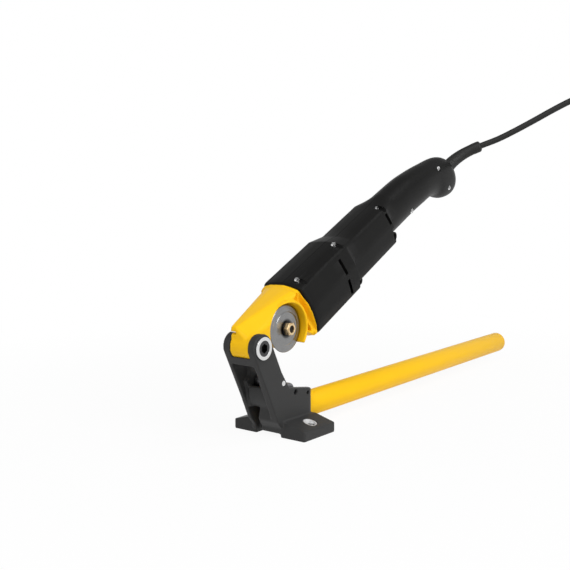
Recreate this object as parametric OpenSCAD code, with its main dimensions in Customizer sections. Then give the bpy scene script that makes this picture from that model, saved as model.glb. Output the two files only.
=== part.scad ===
// Electric pipe cutter on a bench stand. A motor lever swings on a cast stand, and its
// driven wheel cuts the pipe that lies on four support rollers.
// Millimetres. Origin: middle of the two bench holes, on the underside of the foot.
// +X is the side of the cutter wheel, +Y runs along the holding tube, +Z is up.

/* [Stand] */
// Width of the stand over both side plates
stand_w = 37; // [34:0.5:44]
// Thickness of one side plate
plate_t = 7.5; // [6:0.5:9]
// Distance of the swing axis in front of the bench holes
pivot_back = 54; // [52:0.5:58]
// Height of the swing axis above the bench
pivot_h = 89.5; // [86:0.5:94]
// Radius of the ears round the swing axis
ear_r = 12.8; // [12:0.1:14]
// Angle of the arm edges from the vertical
arm_lean = 26.5; // [25:0.5:28]
// Height of the shelf edge at its front end
shelf_front_h = 46.5; // [45:0.5:49]
// Height of the shelf edge at its rear end
shelf_rear_h = 40.5; // [40:0.5:44]
// Rear face of the stand behind the bench holes
stand_rear = 23.5; // [22:0.5:28]
// Rounding of the two rear corners
rear_round = 8; // [4:0.5:10]
// Clear height under the body between the lugs
foot_lift = 3.5; // [2:0.5:4]

/* [Bench lugs] */
// Width of the foot over both lugs
foot_w = 86; // [80:1:96]
// Length of a lug along the tube
lug_l = 49; // [42:1:52]
// Thickness of a lug at its end
lug_end_t = 9.5; // [8:0.5:11]
// Thickness of a lug at its root
lug_root_t = 15.5; // [12:0.5:17]
// Distance between the two bench holes
hole_pitch = 62; // [60:0.5:64]
// Diameter of a bench hole
hole_d = 9; // [7:0.5:10]
// Diameter of the countersink of a bench hole
sink_d = 12.5; // [12:0.5:14]

/* [Support rollers] */
// Diameter of a roller
roller_d = 15.6; // [14.6:0.2:16]
// Length of a roller
roller_l = 7.8; // [6.6:0.2:8]
// Diameter of a roller axle
axle_d = 5; // [4:0.5:6]
// Front axle: distance in front of the bench holes
front_axle_back = 24; // [23:0.5:25]
// Front axle: height
front_axle_h = 52.4; // [52:0.2:54]
// Lower axle: distance in front of the bench holes
low_axle_back = 5.6; // [5:0.2:6.4]
// Lower axle: height
low_axle_h = 40.8; // [40.6:0.2:42]

/* [Holding tube] */
// Outer diameter of the holding tube
tube_d = 25.6; // [24:0.2:26]
// Wall of the holding tube
tube_wall = 1.5; // [1:0.1:2.5]
// Length of the tube that stands out of the stand
tube_out = 452; // [300:1:600]
// Depth of the tube socket
socket_l = 46; // [40:1:47]
// Height of the tube axis at the mouth of the socket
tube_axis_h = 18.9; // [18.5:0.1:19]
// Rise of the tube towards its free end, in degrees
tube_rise = 0.4; // [0:0.1:0.5]

/* [Lever head] */
// Angle of the motor axis above the horizontal at rest
rest_angle = 27; // [20:1:35]
// Outer radius of the knuckle on the swing axis
knuckle_r = 12.3; // [11:0.1:12.6]
// Distance of the wheel from the swing axis, along the motor axis
wheel_s = 54.3; // [53:0.1:56]
// Distance of the wheel axis below the swing axis, square to the motor axis
wheel_drop = 16.8; // [16:0.2:17.6]
// Sideways distance of the motor axis from the wheel
motor_side = 18; // [17:0.5:19]
// Distance of the motor axis below the swing axis
motor_drop = 18.8; // [18:0.2:20]
// Front face of the motor housing from the swing axis
shell_s = 88; // [86:0.5:92]
// Thickness of the flange that carries the housing
flange_t = 4; // [3:0.5:5]

/* [Cutter wheel] */
// Diameter of the cutter wheel
wheel_d = 47; // [45:0.2:48]
// Thickness of the wheel at its hub
wheel_t = 3.2; // [2.4:0.2:4]
// Gap between the wheel and the guard round it
wheel_gap = 1.6; // [1.2:0.2:2]
// Wall of the guard
guard_wall = 2.6; // [2.2:0.2:3.4]
// Width of the hexagon of the wheel nut
nut_af = 11.5; // [10:0.5:14]
// Diameter of the drive spindle
spindle_d = 12; // [10:0.5:13]

/* [Motor housing] */
// Width of the housing at the motor
shell_w = 58.8; // [57:0.2:62]
// Height of the housing above the motor axis
shell_top = 30.5; // [30:0.1:33]
// Depth of the housing below the motor axis
shell_low = 29; // [28.5:0.1:31]
// Length of the wide section
wide_l = 84; // [82:1:90]
// Length of the taper behind the wide section
taper_l = 20; // [16:1:22]
// Size of the middle section as a share of the wide one
mid_ratio = 0.855; // [0.84:0.005:0.88]
// Length of the middle section
mid_l = 70; // [66:1:74]
// Wall of the housing
wall = 2.6; // [2:0.1:3]
// Width of a vent slot
slot_w = 3.4; // [2:0.2:4.5]

/* [Grip] */
// Width of the grip
grip_w = 41; // [38:0.5:42]
// Length of the trigger
trigger_l = 34; // [28:1:40]
// Width of the trigger
trigger_w = 8; // [7:0.5:10]
// Travel of the trigger at its free end
trigger_travel = 2.2; // [1.5:0.1:2.6]

/* [Motor] */
// Outer diameter of the stator
stator_d = 50; // [46:0.5:51]
// Length of the stator
stator_l = 40; // [36:1:41]
// Diameter of the armature core
core_d = 32; // [28:0.5:34]
// Diameter of the motor shaft
shaft_d = 8; // [7:0.5:9]

/* [Power lead] */
// Diameter of the lead
cord_d = 7.8; // [7.4:0.1:8]
// Gap between neighbouring turns of the put-away coil
turn_gap = 0.5; // [0.5:0.1:1]
// Turns in each of the two layers of the coil
layer_turns = 3; // [2.5:0.5:3]
// Radius of the outermost turn of the coil
coil_r = 58; // [57:0.5:60]
// Diameter of the bend relief at the grip
relief_d = 17; // [16:0.5:17.5]
// Diameter of the bend relief at its end
relief_end_d = 13.6; // [12.8:0.2:14]
// Diameter of the plug body
plug_d = 38; // [34:1:40]

/* [Clearances] */
// Radial clearance of a running fit
run_gap = 0.05; // [0.02:0.01:0.1]
// Radial clearance of a fixed fit
fit_gap = 0.05; // [0.02:0.01:0.1]
// Side clearance between the knuckle and the ears
side_gap = 0.3; // [0.2:0.05:0.5]
// Clearance round pieces that pass each other
pass_gap = 0.6; // [0.4:0.1:0.8]

/* [Hidden] */
$fn = 64;

// Colours
black_coat = [0.13, 0.13, 0.13];
black_plastic = [0.10, 0.10, 0.11];
yellow = [0.98, 0.76, 0.05];
steel = [0.72, 0.73, 0.75];
dark_steel = [0.25, 0.25, 0.27];
bronze = [0.70, 0.52, 0.30];
copper = [0.72, 0.42, 0.24];
rubber = [0.12, 0.12, 0.12];

// Half widths and seats of the stand
lug_round = 1.2;
stand_x = stand_w / 2;
plate_x = stand_x - plate_t;
pivot_y = -pivot_back;
pivot_z = pivot_h;
front_y = -front_axle_back;
low_y = -low_axle_back;
roller_r = roller_d / 2;
axle_r = axle_d / 2;

// Swing bearing: flanged sleeve through both ears, screw and nut
sleeve_r = 9;
sleeve_flange_r = 10.6;
sleeve_flange_t = 2;
pivot_screw_r = 5;
pivot_head_r = 7.2;
pivot_head_l = 7;
pivot_nut_l = 7;

// Holding tube
tube_r = tube_d / 2;
set_screw_r = 4;
set_screw_y = 6;

// Wheel, guard and spindle in the lever's own frame
wheel_r = wheel_d / 2;
wheel_n = -wheel_drop;
motor_x = -motor_side;
motor_n = -motor_drop;
guard_r = wheel_r + wheel_gap;
guard_x = 7;
guard_end = 64;
recess_x = -wheel_t / 2 - 1.2;
case_r = 20;
case_x = motor_x - 15;
cover_t = 3;
spindle_r = spindle_d / 2;
thread_r = 3.5;
washer_t = 1.4;
nut_l = 5.2;
spindle_flange_r = 9;
gear_r = 15;
gear_t = 5;
gear_x = motor_x + 6;
pinion_r = 5;

// Stations of the motor along its axis
flange_s = shell_s - flange_t;
spigot_r = 22;
spigot_l = 8;
ring_r = 13;
ring_in_r = 11;
neck_r = ring_r + 1.9;
carrier_s = wheel_s + gear_r + 1.4;
fan_s = shell_s + 17;
fan_l = 9;
stator_s = fan_s + fan_l + 8;
comm_s = stator_s + stator_l + 11;
comm_l = 15;
rear_s = comm_s + comm_l + 9;
bearing_l = 7;
bearing_r = 11;
front_bearing_s = shell_s - 1;
stator_r = stator_d / 2;
core_r = core_d / 2;
shaft_r = shaft_d / 2;

// Ridges between the top and the sides: share of the width, drop below the top
wide_ridge = [0.475, 4];
mid_ridge = [0.412, 1.5];
// Sections of the housing, as half outlines from the top middle to the low middle
function shell_half(k, ridge = wide_ridge) = [
    [0, shell_top * k],
    [shell_w * 0.238 * k, (shell_top - 0.5) * k],
    [shell_w * ridge[0] * k, (shell_top - ridge[1]) * k],
    [shell_w / 2 * k, k],
    [shell_w / 2 * k, -14 * k],
    [(shell_w / 2 - 2.4) * k, -(shell_low - 3.5) * k],
    [shell_w * 0.272 * k, -(shell_low - 0.4) * k],
    [0, -shell_low * k]
];
wide_end = shell_s + wide_l;
mid_s = wide_end + taper_l;
mid_end = mid_s + mid_l;
step_l = 5;
grip_taper = 22;
grip_s = mid_end + grip_taper;
// Grip stations: distance behind the grip's front, top, underside, share of the width
grip_rows = [
    [0, 27.5, -20.5, 1], [46, 26, -21, 0.98], [72, 22.8, -22.3, 0.98], [90, 20, -23.5, 0.95],
    [106, 17, -28, 0.93], [120, 14.5, -38, 0.93], [134, 11, -43.5, 0.9], [146, 5.5, -45, 0.83],
    [155, -2, -42, 0.63], [160, -10, -36, 0.34]
];
grip_end = grip_s + grip_rows[9][0];
// Points of a ring of the housing, two on each edge of the outline
function ring_of(half) = concat(
    [for (i = [0:6]) each [half[i], (half[i] + half[i + 1]) / 2]],
    [for (i = [7:-1:1]) each [[-half[i][0], half[i][1]],
        [-(half[i][0] + half[i - 1][0]) / 2, (half[i][1] + half[i - 1][1]) / 2]]]
);
function shrink(p, w) = let (d = norm(p)) p * (1 - w / max(d, w + 1));
function block_ring(k, w, ridge = wide_ridge) = [for (p = ring_of(shell_half(k, ridge))) shrink(p, w)];
function mid_ring(w) = block_ring(mid_ratio, w, mid_ridge);
function oval_ring(row, w) = [
    for (p = ring_of(shell_half(1)))
        let (a = atan2(p[0] / shell_w * 2, p[1] / shell_top))
            [(grip_w / 2 * row[3] - w) * sin(a),
             (row[1] + row[2]) / 2 + ((row[1] - row[2]) / 2 - w) * cos(a)]
];
// Short steps at the sides and the underside, long tapers on top
function step_share(k, early) = let (m = min(k, 28 - k)) m <= 4 ? early : m == 5 ? (1 + early) / 2 : 1;
function mix_ring(a, b, early) = [
    for (k = [0:len(a) - 1]) let (f = step_share(k, early)) a[k] * (1 - f) + b[k] * f
];
shell_stations = concat([shell_s, wide_end, wide_end + step_l, mid_s, mid_end, mid_end + step_l],
    [for (r = grip_rows) grip_s + r[0]]);
function shell_ring(i, w) =
    i < 2 ? block_ring(1, w) :
    i == 2 ? mix_ring(block_ring(1, w), mid_ring(w), step_l / taper_l) :
    i < 5 ? mid_ring(w) :
    i == 5 ? mix_ring(mid_ring(w), oval_ring(grip_rows[0], w), step_l / grip_taper) :
    oval_ring(grip_rows[i - 6], w);

// Screws of the housing: distance along the axis, height, inner face of the head
top_screws = [
    [shell_s + 10.5, shell_top - 2, 10.3],
    [wide_end - 3.5, shell_top - 2, 10.3],
    [mid_end - 1, shell_top * mid_ratio - 4, 9]
];
low_screws = [[wide_end + 13, -shell_low * mid_ratio + 1, 14], [mid_end + 10, -18.5, 11]];
grip_screws = [[grip_s + 114.5, 4.5, 13.2], [grip_s + 129, -28, 13.5], [grip_s + 34.5, -10.5, 14]];
shell_screws = concat(top_screws, low_screws, grip_screws);
head_r = 3;
head_l = 2.4;
shank_r = 1.3;
shank_l = 18;
post_r = 4.2;

// Trigger in the underside of the grip
trigger_s = grip_s + 12;
trigger_pin_r = 1.5;
trigger_n = -17.5;
trigger_swing = atan(trigger_travel / trigger_l);

// Route of the lead: bend relief, the stretch in the air, the drop, and the tail
cord_r = cord_d / 2;
function lever_point(p) = [
    p[0],
    pivot_y + p[1] * cos(rest_angle) - p[2] * sin(rest_angle),
    pivot_z + p[1] * sin(rest_angle) + p[2] * cos(rest_angle)
];
relief_at = lever_point([motor_x, grip_end - 3.7, motor_n - 12.5]);
relief_way = lever_point([motor_x, grip_end + 22, motor_n - 12.7]);
cord_start = lever_point([motor_x + 30, grip_end + 41.7, motor_n - 5.9]);
function bend_at(u) =
    relief_at * (1 - u) * (1 - u) + relief_way * 2 * u * (1 - u) + cord_start * u * u;
// The lead comes down on the bench at this depth, where the coil starts
land_y = 628;
coil_at = [144, land_y - coil_r];
tie_t = 0.9;
tie_w = 12;
layer_z = cord_d + turn_gap;
coil_z = cord_r + tie_t + 0.4;
coil_in_deg = 90;
lead_points = [
    cord_start + [0.4, 0.2, 0.2], [32, 400, 296.6], [52, 409, 307.4], [72, 418.5, 319.3],
    [92, 428, 331.6], [110, 437, 341.8],
    [135, 451, 352], [160, 470, 352], [180, 493, 340], [193, 518, 314], [199, 543, 276],
    [200, 567, 230], [198, 588, 180], [196, 607, 130], [194, 620, 88], [192.4, 625.6, 60],
    [190.6, 627.6, 38], [186.7, land_y, 23.4], [181, land_y, 15.9], [173.5, land_y, 10.2],
    [164.8, land_y, 6.4], [155.5, land_y, 5.2]
];
tail_r = 4.2 * cord_d;

module cyl_x(r, x0, x1) { translate([x0, 0, 0]) rotate([0, 90, 0]) cylinder(r = r, h = x1 - x0); }
module cyl_y(r, y0, y1) { translate([0, y1, 0]) rotate([90, 0, 0]) cylinder(r = r, h = y1 - y0); }
module hex_x(af, x0, x1) {
    translate([x0, 0, 0]) rotate([0, 90, 0]) cylinder(r = af / sqrt(3), h = x1 - x0, $fn = 6);
}
module along_x(x0, x1) { translate([x0, 0, 0]) rotate([90, 0, 90]) linear_extrude(x1 - x0) children(); }
module along_y(y0, y1) { translate([0, y1, 0]) rotate([90, 0, 0]) linear_extrude(y1 - y0) children(); }
module at_pivot() { translate([0, pivot_y, pivot_z]) children(); }
module on_lever() { at_pivot() rotate([rest_angle, 0, 0]) children(); }
module on_wheel() { on_lever() translate([0, wheel_s, wheel_n]) children(); }
module on_motor() { on_lever() translate([motor_x, 0, motor_n]) children(); }
module at_front_axle() { translate([0, front_y, front_axle_h]) children(); }
module at_low_axle() { translate([0, low_y, low_axle_h]) children(); }
module on_tube() { translate([0, stand_rear, tube_axis_h]) rotate([tube_rise, 0, 0]) children(); }

// Tube of the given radius swept along points, with the given number of sides
function unit(v) = v / max(norm(v), 1e-6);
function heading(p, i) = unit(p[min(i + 1, len(p) - 1)] - p[max(i - 1, 0)]);
function across(h, side) = unit(side - h * (side * h));
function frames(p, i, side) =
    i >= len(p) ? [] : let (a = across(heading(p, i), side)) concat([a], frames(p, i + 1, a));
module sweep(p, r, sides, first = [0, 0, 1]) {
    a = frames(p, 0, first);
    pts = [for (i = [0:len(p) - 1]) let (h = heading(p, i), b = cross(h, a[i]))
        for (k = [0:sides - 1]) p[i] + r * (a[i] * cos(360 * k / sides) + b * sin(360 * k / sides))];
    n = sides;
    side_faces = [for (i = [0:len(p) - 2]) for (k = [0:n - 1]) let (q = (k + 1) % n)
        each [[i * n + k, (i + 1) * n + q, i * n + q], [i * n + k, (i + 1) * n + k, (i + 1) * n + q]]];
    caps = [[for (k = [0:n - 1]) k], [for (k = [n - 1:-1:0]) (len(p) - 1) * n + k]];
    polyhedron(points = pts, faces = concat(side_faces, caps), convexity = 6);
}

// Loft through rings of equal count that stand square to the motor axis
module loft(rings, at) {
    n = len(rings[0]);
    m = len(rings);
    ring_pts = [for (i = [0:m - 1]) for (p = rings[i]) [p[0], at[i], p[1]]];
    ends = [for (i = [0, m - 1]) [0, at[i], (rings[i][0][1] + rings[i][n / 2][1]) / 2]];
    pts = concat(ring_pts, ends);
    side_faces = [for (i = [0:m - 2]) for (k = [0:n - 1]) let (q = (k + 1) % n)
        each [[i * n + k, (i + 1) * n + q, i * n + q], [i * n + k, (i + 1) * n + k, (i + 1) * n + q]]];
    caps = [for (k = [0:n - 1]) let (q = (k + 1) % n)
        each [[n * m, k, q], [n * m + 1, (m - 1) * n + q, (m - 1) * n + k]]];
    polyhedron(points = pts, faces = concat(side_faces, caps), convexity = 8);
}

// Outline of a side plate: ear, leaning arm, shelf and foot
module plate_outline() {
    translate([pivot_y, pivot_z]) circle(r = ear_r);
    polygon([
        [pivot_y - ear_r * cos(arm_lean), pivot_z - ear_r * sin(arm_lean)],
        [-42.5, 38], [-32.4, 16], [-26.5, 9], [-24.9, foot_lift],
        [stand_rear - 1, foot_lift], [stand_rear, 15.5], [stand_rear - 2.4, shelf_rear_h],
        [-15.5, shelf_front_h], [-27, 64],
        [pivot_y + ear_r * cos(arm_lean), pivot_z + ear_r * sin(arm_lean)]
    ]);
}

// Plan of the stand with two rounded rear corners
module stand_plan() {
    translate([-stand_x, -100]) square([stand_w, 100 + stand_rear - rear_round]);
    translate([-stand_x + rear_round, 0]) square([stand_w - 2 * rear_round, stand_rear]);
    for (s = [-1, 1])
        translate([s * (stand_x - rear_round), stand_rear - rear_round]) circle(r = rear_round);
}

module lug(side) {
    intersection() {
        along_y(-lug_l / 2, lug_l / 2)
            polygon([for (p = [[stand_x - 4, 0], [foot_w / 2, 0], [foot_w / 2, lug_end_t],
                [stand_x + 1.5, lug_root_t], [stand_x - 4, lug_root_t]]) [side * p[0], p[1]]]);
        linear_extrude(lug_root_t)
            polygon([for (p = [[stand_x - 4, -lug_l / 2], [foot_w / 2 - lug_round, -lug_l / 2],
                [foot_w / 2, lug_round - lug_l / 2], [foot_w / 2, lug_l / 2 - lug_round],
                [foot_w / 2 - lug_round, lug_l / 2], [stand_x - 4, lug_l / 2]]) [side * p[0], p[1]]]);
    }
}

// Cast stand: two plates, web under the knuckle, curved apron, socket block and bench lugs
module stand() {
    color(black_coat) difference() {
        union() {
            intersection() {
                union() {
                    for (s = [-1, 1])
                        along_x(s < 0 ? -stand_x : plate_x, s < 0 ? -plate_x : stand_x) plate_outline();
                    intersection() {
                        along_x(-plate_x - 1, plate_x + 1) plate_outline();
                        union() {
                            // web under the knuckle
                            translate([-plate_x - 1, pivot_y - 14, pivot_z - 17])
                                cube([2 * plate_x + 2, 18, 9]);
                            // curved apron below the front rollers
                            difference() {
                                translate([0, front_y + 5.5, front_axle_h - 7.5])
                                    cyl_x(roller_r + 14.4, -plate_x - 1, plate_x + 1);
                                translate([0, front_y + 5.5, front_axle_h - 7.5])
                                    cyl_x(roller_r + 9.8, -plate_x - 2, plate_x + 2);
                                translate([-stand_x, -100, front_axle_h - 3.5]) cube([stand_w, 200, 60]);
                                translate([-stand_x, -100, -60]) cube([stand_w, 200, 89]);
                                translate([-stand_x, front_y + 2, -10]) cube([stand_w, 100, 100]);
                            }
                            // socket block
                            translate([-plate_x - 1, -19, 0]) cube([2 * plate_x + 2, 80, 36]);
                            // block at the front, beside an open pocket
                            along_y(-33.2, -18) polygon([[-2.5, 31], [-8.5, 0], [plate_x + 1, 0],
                                [plate_x + 1, 31]]);
                        }
                    }
                }
                linear_extrude(200) stand_plan();
            }
            for (s = [-1, 1]) lug(s);
        }
        // swing bearing
        at_pivot() cyl_x(sleeve_r + fit_gap, -stand_x - 1, stand_x + 1);
        // knuckle cradle
        at_pivot() cyl_x(knuckle_r + pass_gap, -plate_x, plate_x);
        // roller axles and the pocket of the lower rollers
        at_front_axle() cyl_x(axle_r + fit_gap, -stand_x - 1, stand_x + 1);
        at_low_axle() cyl_x(axle_r + fit_gap, -stand_x - 1, stand_x + 1);
        at_low_axle() cyl_x(roller_r + pass_gap, -plate_x, plate_x);
        // cross hole near the rear of the shelf
        translate([0, 13.8, 36.8]) cyl_x(1.9, plate_x + 2, stand_x + 1);
        // tube socket and its set screw
        on_tube() cyl_y(tube_r + fit_gap, -socket_l, 5);
        translate([0, set_screw_y, -1]) cylinder(r = set_screw_r + fit_gap, h = 12);
        // bench holes
        for (s = [-1, 1]) translate([s * hole_pitch / 2, 0, 0]) {
            translate([0, 0, -1]) cylinder(d = hole_d, h = 30);
            translate([0, 0, lug_end_t - 1.2]) cylinder(d1 = hole_d, d2 = sink_d, h = 1.7);
            translate([0, 0, lug_end_t + 0.49]) cylinder(d = sink_d, h = 12);
        }
    }
}

// Flanged steel sleeve through both ears
module pivot_sleeve() {
    color(steel) at_pivot() difference() {
        union() {
            cyl_x(sleeve_r, -stand_x, stand_x + 0.5);
            cyl_x(sleeve_flange_r, stand_x, stand_x + sleeve_flange_t);
        }
        cyl_x(pivot_screw_r + fit_gap, -stand_x - 1, stand_x + 5);
        cyl_x(pivot_head_r + fit_gap, stand_x + sleeve_flange_t - pivot_head_l, stand_x + 5);
        cyl_x(pivot_head_r + fit_gap, -stand_x - 1, -stand_x + pivot_nut_l);
    }
}

// Socket head screw of the swing bearing
module pivot_screw() {
    head_x = stand_x + sleeve_flange_t - pivot_head_l;
    color(dark_steel) at_pivot() difference() {
        union() {
            cyl_x(pivot_head_r, head_x, head_x + pivot_head_l - 0.3);
            cyl_x(pivot_screw_r, -stand_x + 1.5, head_x + 1);
        }
        hex_x(8, head_x + 1.5, head_x + pivot_head_l + 1);
    }
}

// Slotted round nut, flush in the far end of the sleeve
module pivot_nut() {
    color(dark_steel) at_pivot() difference() {
        cyl_x(pivot_head_r, -stand_x + 0.3, -stand_x + pivot_nut_l);
        cyl_x(pivot_screw_r + fit_gap, -stand_x - 1, stand_x);
        translate([-stand_x, -pivot_head_r - 1, -1]) cube([1.8, 2 * pivot_head_r + 2, 2]);
    }
}

module front_axle() { color(steel) at_front_axle() cyl_x(axle_r, -stand_x, stand_x); }
module low_axle() { color(steel) at_low_axle() cyl_x(axle_r, -stand_x + 1.5, stand_x - 2); }

// Spacers that keep the two rollers of an axle apart
spacer_x = plate_x - roller_l - pass_gap - 0.2;
module spacer() {
    difference() {
        cyl_x(axle_r + 1.6, -spacer_x, spacer_x);
        cyl_x(axle_r + fit_gap, -spacer_x - 1, spacer_x + 1);
    }
}
module roller_spacers() {
    color(steel) {
        at_front_axle() spacer();
        at_low_axle() spacer();
    }
}

// Support roller with chamfered edges
module roller(side) {
    x0 = plate_x - pass_gap / 2 - roller_l;
    color(dark_steel) mirror([side < 0 ? 1 : 0, 0, 0]) rotate([0, 90, 0]) rotate_extrude()
        polygon([[axle_r + run_gap, x0], [roller_r - 0.6, x0], [roller_r, x0 + 0.6],
            [roller_r, x0 + roller_l - 0.6], [roller_r - 0.6, x0 + roller_l],
            [axle_r + run_gap, x0 + roller_l]]);
}
module roller_front_near() { at_front_axle() roller(1); }
module roller_front_far() { at_front_axle() roller(-1); }
module roller_low_near() { at_low_axle() roller(1); }
module roller_low_far() { at_low_axle() roller(-1); }

// Hexagon socket set screw under the tube
module tube_set_screw() {
    top = tube_axis_h - tube_r - 0.3;
    color(dark_steel) translate([0, set_screw_y, 0]) difference() {
        translate([0, 0, foot_lift]) cylinder(r = set_screw_r, h = top - foot_lift);
        translate([0, 0, foot_lift - 1]) cylinder(r = 2.3, h = 1.9, $fn = 6);
    }
}

module holding_tube() {
    color(yellow) on_tube() difference() {
        cyl_y(tube_r, -socket_l + 1, tube_out);
        cyl_y(tube_r - tube_wall, -socket_l, tube_out + 1);
    }
}

// Domed plug in the open end of the tube
module tube_end_cap() {
    dome = 5;
    color(yellow) on_tube() translate([0, tube_out, 0]) rotate([-90, 0, 0]) rotate_extrude()
        polygon(concat([[0, -14], [tube_r - tube_wall - fit_gap, -14], [tube_r - tube_wall - fit_gap, 0]],
            [for (a = [0:15:90]) [tube_r - dome + dome * cos(a), dome * sin(a)]], [[0, dome]]));
}

// Lever head: knuckle, roofed arm, wheel guard, gear case and housing flange
lip_r = 2.4;
lip_n = 18.6;
lip_x = -5;
head_x = plate_x - side_gap;
pin_s = -0.6;
pin_n = knuckle_r + 4;
pin_r = 1.5;
module head_arm() {
    hull() {
        // lip on the far side, and the top of the knuckle with a rounded near edge
        translate([0, 0.4, lip_n]) cyl_x(lip_r, -head_x, lip_x, $fn = 24);
        translate([0, 0, knuckle_r - 8]) cyl_x(8, -head_x, head_x - 4, $fn = 48);
        translate([0, 0, knuckle_r - 8]) cyl_x(6.8, -head_x, head_x - 1.4, $fn = 32);
        translate([0, 0, knuckle_r - 8]) cyl_x(4.5, -head_x, head_x, $fn = 24);
        translate([0, 15, -5]) cyl_x(3, -head_x, head_x - 2, $fn = 24);
        translate([motor_x, flange_s - 2, motor_n]) along_y(0, 2)
            polygon([[-24, -4], [-22.5, 22], [-18, 27], [-9, 29.5], [8, 29.5], [17, 28.4], [21.5, 25.8],
                [24.3, 21.5], [25, -4]]);
    }
}
module head_guard() {
    translate([0, wheel_s, wheel_n]) difference() {
        cyl_x(guard_r + guard_wall, recess_x - 3, guard_x);
        // open towards the pipe
        rotate([-guard_end, 0, 0]) translate([-20, 0, -60]) cube([40, 60, 60]);
        rotate([-guard_end - 40, 0, 0]) translate([-20, 0, -60]) cube([40, 60, 60]);
    }
}
// Oblique cut that lays the edge of the wheel open towards the knuckle
open_rise = 9.2;
open_s = -10.3;
open_n = 5.3;
module near_slope() {
    translate([wheel_t / 2 + 0.2, wheel_s, wheel_n]) hull() {
        cyl_x(guard_r, 0, 0.4, $fn = 72);
        translate([0, open_s, open_n]) cyl_x(guard_r, open_rise, open_rise + 6, $fn = 72);
    }
}
// Open pocket between the guard and the flange
module flange_pocket() {
    difference() {
        translate([recess_x, wheel_s, wheel_n - 60]) cube([60, flange_s - wheel_s, 60 + 22.5]);
        translate([0, wheel_s, wheel_n]) cyl_x(guard_r + guard_wall, recess_x - 1, 70);
    }
}
module gear_head() {
    color(yellow) on_lever() difference() {
        union() {
            cyl_x(knuckle_r, -head_x, head_x);
            difference() {
                union() {
                    head_arm();
                    head_guard();
                }
                near_slope();
                flange_pocket();
            }
            // foot between the guard and the flange
            along_x(recess_x - 1, guard_x - 1) polygon([
                [wheel_s + 17, wheel_n - 11], [wheel_s + 21.5, wheel_n - 17.5],
                [flange_s + 1, wheel_n - 29], [flange_s + 1, wheel_n - 24]]);
            // gear case round the spindle and neck to the flange
            translate([0, wheel_s, wheel_n]) cyl_x(case_r, case_x, recess_x);
            translate([motor_x, 0, motor_n]) {
                cyl_y(neck_r, wheel_s + 4, flange_s + 1);
                along_y(flange_s, shell_s) scale(0.965) polygon(ring_of(shell_half(1)));
                cyl_y(spigot_r, shell_s - 1, shell_s + spigot_l);
            }
        }
        // swing bore and room for the ears and the arms
        cyl_x(sleeve_r + run_gap, -plate_x, plate_x);
        for (s = [-1, 1]) {
            cyl_x(ear_r + pass_gap, s < 0 ? -60 : plate_x - side_gap, s < 0 ? -plate_x + side_gap : 60);
            translate([s < 0 ? -60 : plate_x - side_gap, -20, -40]) cube([60 - plate_x + side_gap, 46, 45]);
        }
        // wheel recess, open towards the pipe
        translate([0, wheel_s, wheel_n]) cyl_x(guard_r, recess_x, 40);
        // notch under the lip at the far end
        translate([-plate_x - 1, -16, knuckle_r + 2]) cube([plate_x + 1 + lip_x, 18.4, 2.6]);
        // gear room, spindle bore, cover seat
        translate([0, wheel_s, wheel_n]) {
            cyl_x(gear_r + 1.2, case_x - 1, gear_x + gear_t + pass_gap);
            cyl_x(spindle_r + 2 + fit_gap, case_x, recess_x + 1);
        }
        translate([motor_x, 0, motor_n]) {
            cyl_y(ring_r + fit_gap, carrier_s - 2, shell_s + spigot_l - 3);
            cyl_y(pinion_r + 3, wheel_s, carrier_s);
            cyl_y(bearing_r + fit_gap, shell_s - 4, shell_s + spigot_l + 1);
        }
        // seat of the gear cover
        translate([0, wheel_s, wheel_n]) cyl_x(case_r + 0.3, -70, case_x);
        // stop pin bore
        translate([0, pin_s, pin_n]) cyl_x(pin_r + fit_gap, -plate_x - 2, lip_x + 4);
    }
}

// Round cover on the far side of the gear case
module gear_cover() {
    color(yellow) on_wheel() difference() {
        union() {
            cyl_x(case_r, case_x - cover_t, case_x);
            cyl_x(gear_r + 1.2 - fit_gap, case_x - 0.5, case_x + 2);
        }
        cyl_x(spindle_r + run_gap, case_x - 1, case_x + 3);
        for (a = [45:90:360]) rotate([a, 0, 0]) translate([0, 0, case_r - 2.2]) {
            cyl_x(1.2 + fit_gap, case_x - 5, case_x + 3);
        }
    }
}
module cover_screws() {
    color(steel) on_wheel() for (a = [45:90:360]) rotate([a, 0, 0]) translate([0, 0, case_r - 2.2]) {
        cyl_x(2.1, case_x - cover_t - 1.4, case_x - cover_t);
        cyl_x(1.2, case_x - cover_t - 0.5, case_x);
    }
}

// Steel stop pin in the notch under the lip
module stop_pin() {
    color(steel) on_lever() translate([0, pin_s, pin_n]) cyl_x(pin_r, -plate_x - 1, lip_x + 3.5);
}

// Bearing bush of the spindle next to the wheel
module spindle_bush() {
    x1 = recess_x;
    color(bronze) on_wheel() difference() {
        cyl_x(spindle_r + 2, gear_x + gear_t + pass_gap + 0.2, x1);
        cyl_x(spindle_r + run_gap, gear_x, x1 + 1);
    }
}

// Housing, moulded in two halves that part on the upright plane of the motor axis
module shell_solid(w, first, last) {
    n = len(shell_stations) - 1;
    at = [for (i = [0:n]) shell_stations[i] - (i == 0 ? first : i == n ? last : 0)];
    loft([for (i = [0:len(at) - 1]) shell_ring(i, w)], at);
}
module shell_posts() {
    for (p = concat(top_screws, low_screws)) translate([0, p[0], p[1]]) cyl_x(post_r, -p[2] - 3, p[2] + 3);
    for (p = grip_screws) translate([0, p[0], p[1]]) cyl_x(post_r, -p[2] - 10, p[2] + 10);
    // round bosses on the lower edge
    for (p = low_screws) translate([0, p[0], p[1]]) cyl_x(post_r + 0.8, -p[2] - 6, p[2] + 6);
}
module vent_slots() {
    wide_slot = wide_end - 18.5;
    mid_slot = mid_end - 5;
    for (p = [[wide_slot, 2.4, 20.4], [wide_slot, -21.6, -3.6], [mid_slot, 4, 17], [mid_slot, -16, -2]])
        translate([-50, p[0], p[1]]) cube([100, slot_w, p[2] - p[1]]);
}
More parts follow.
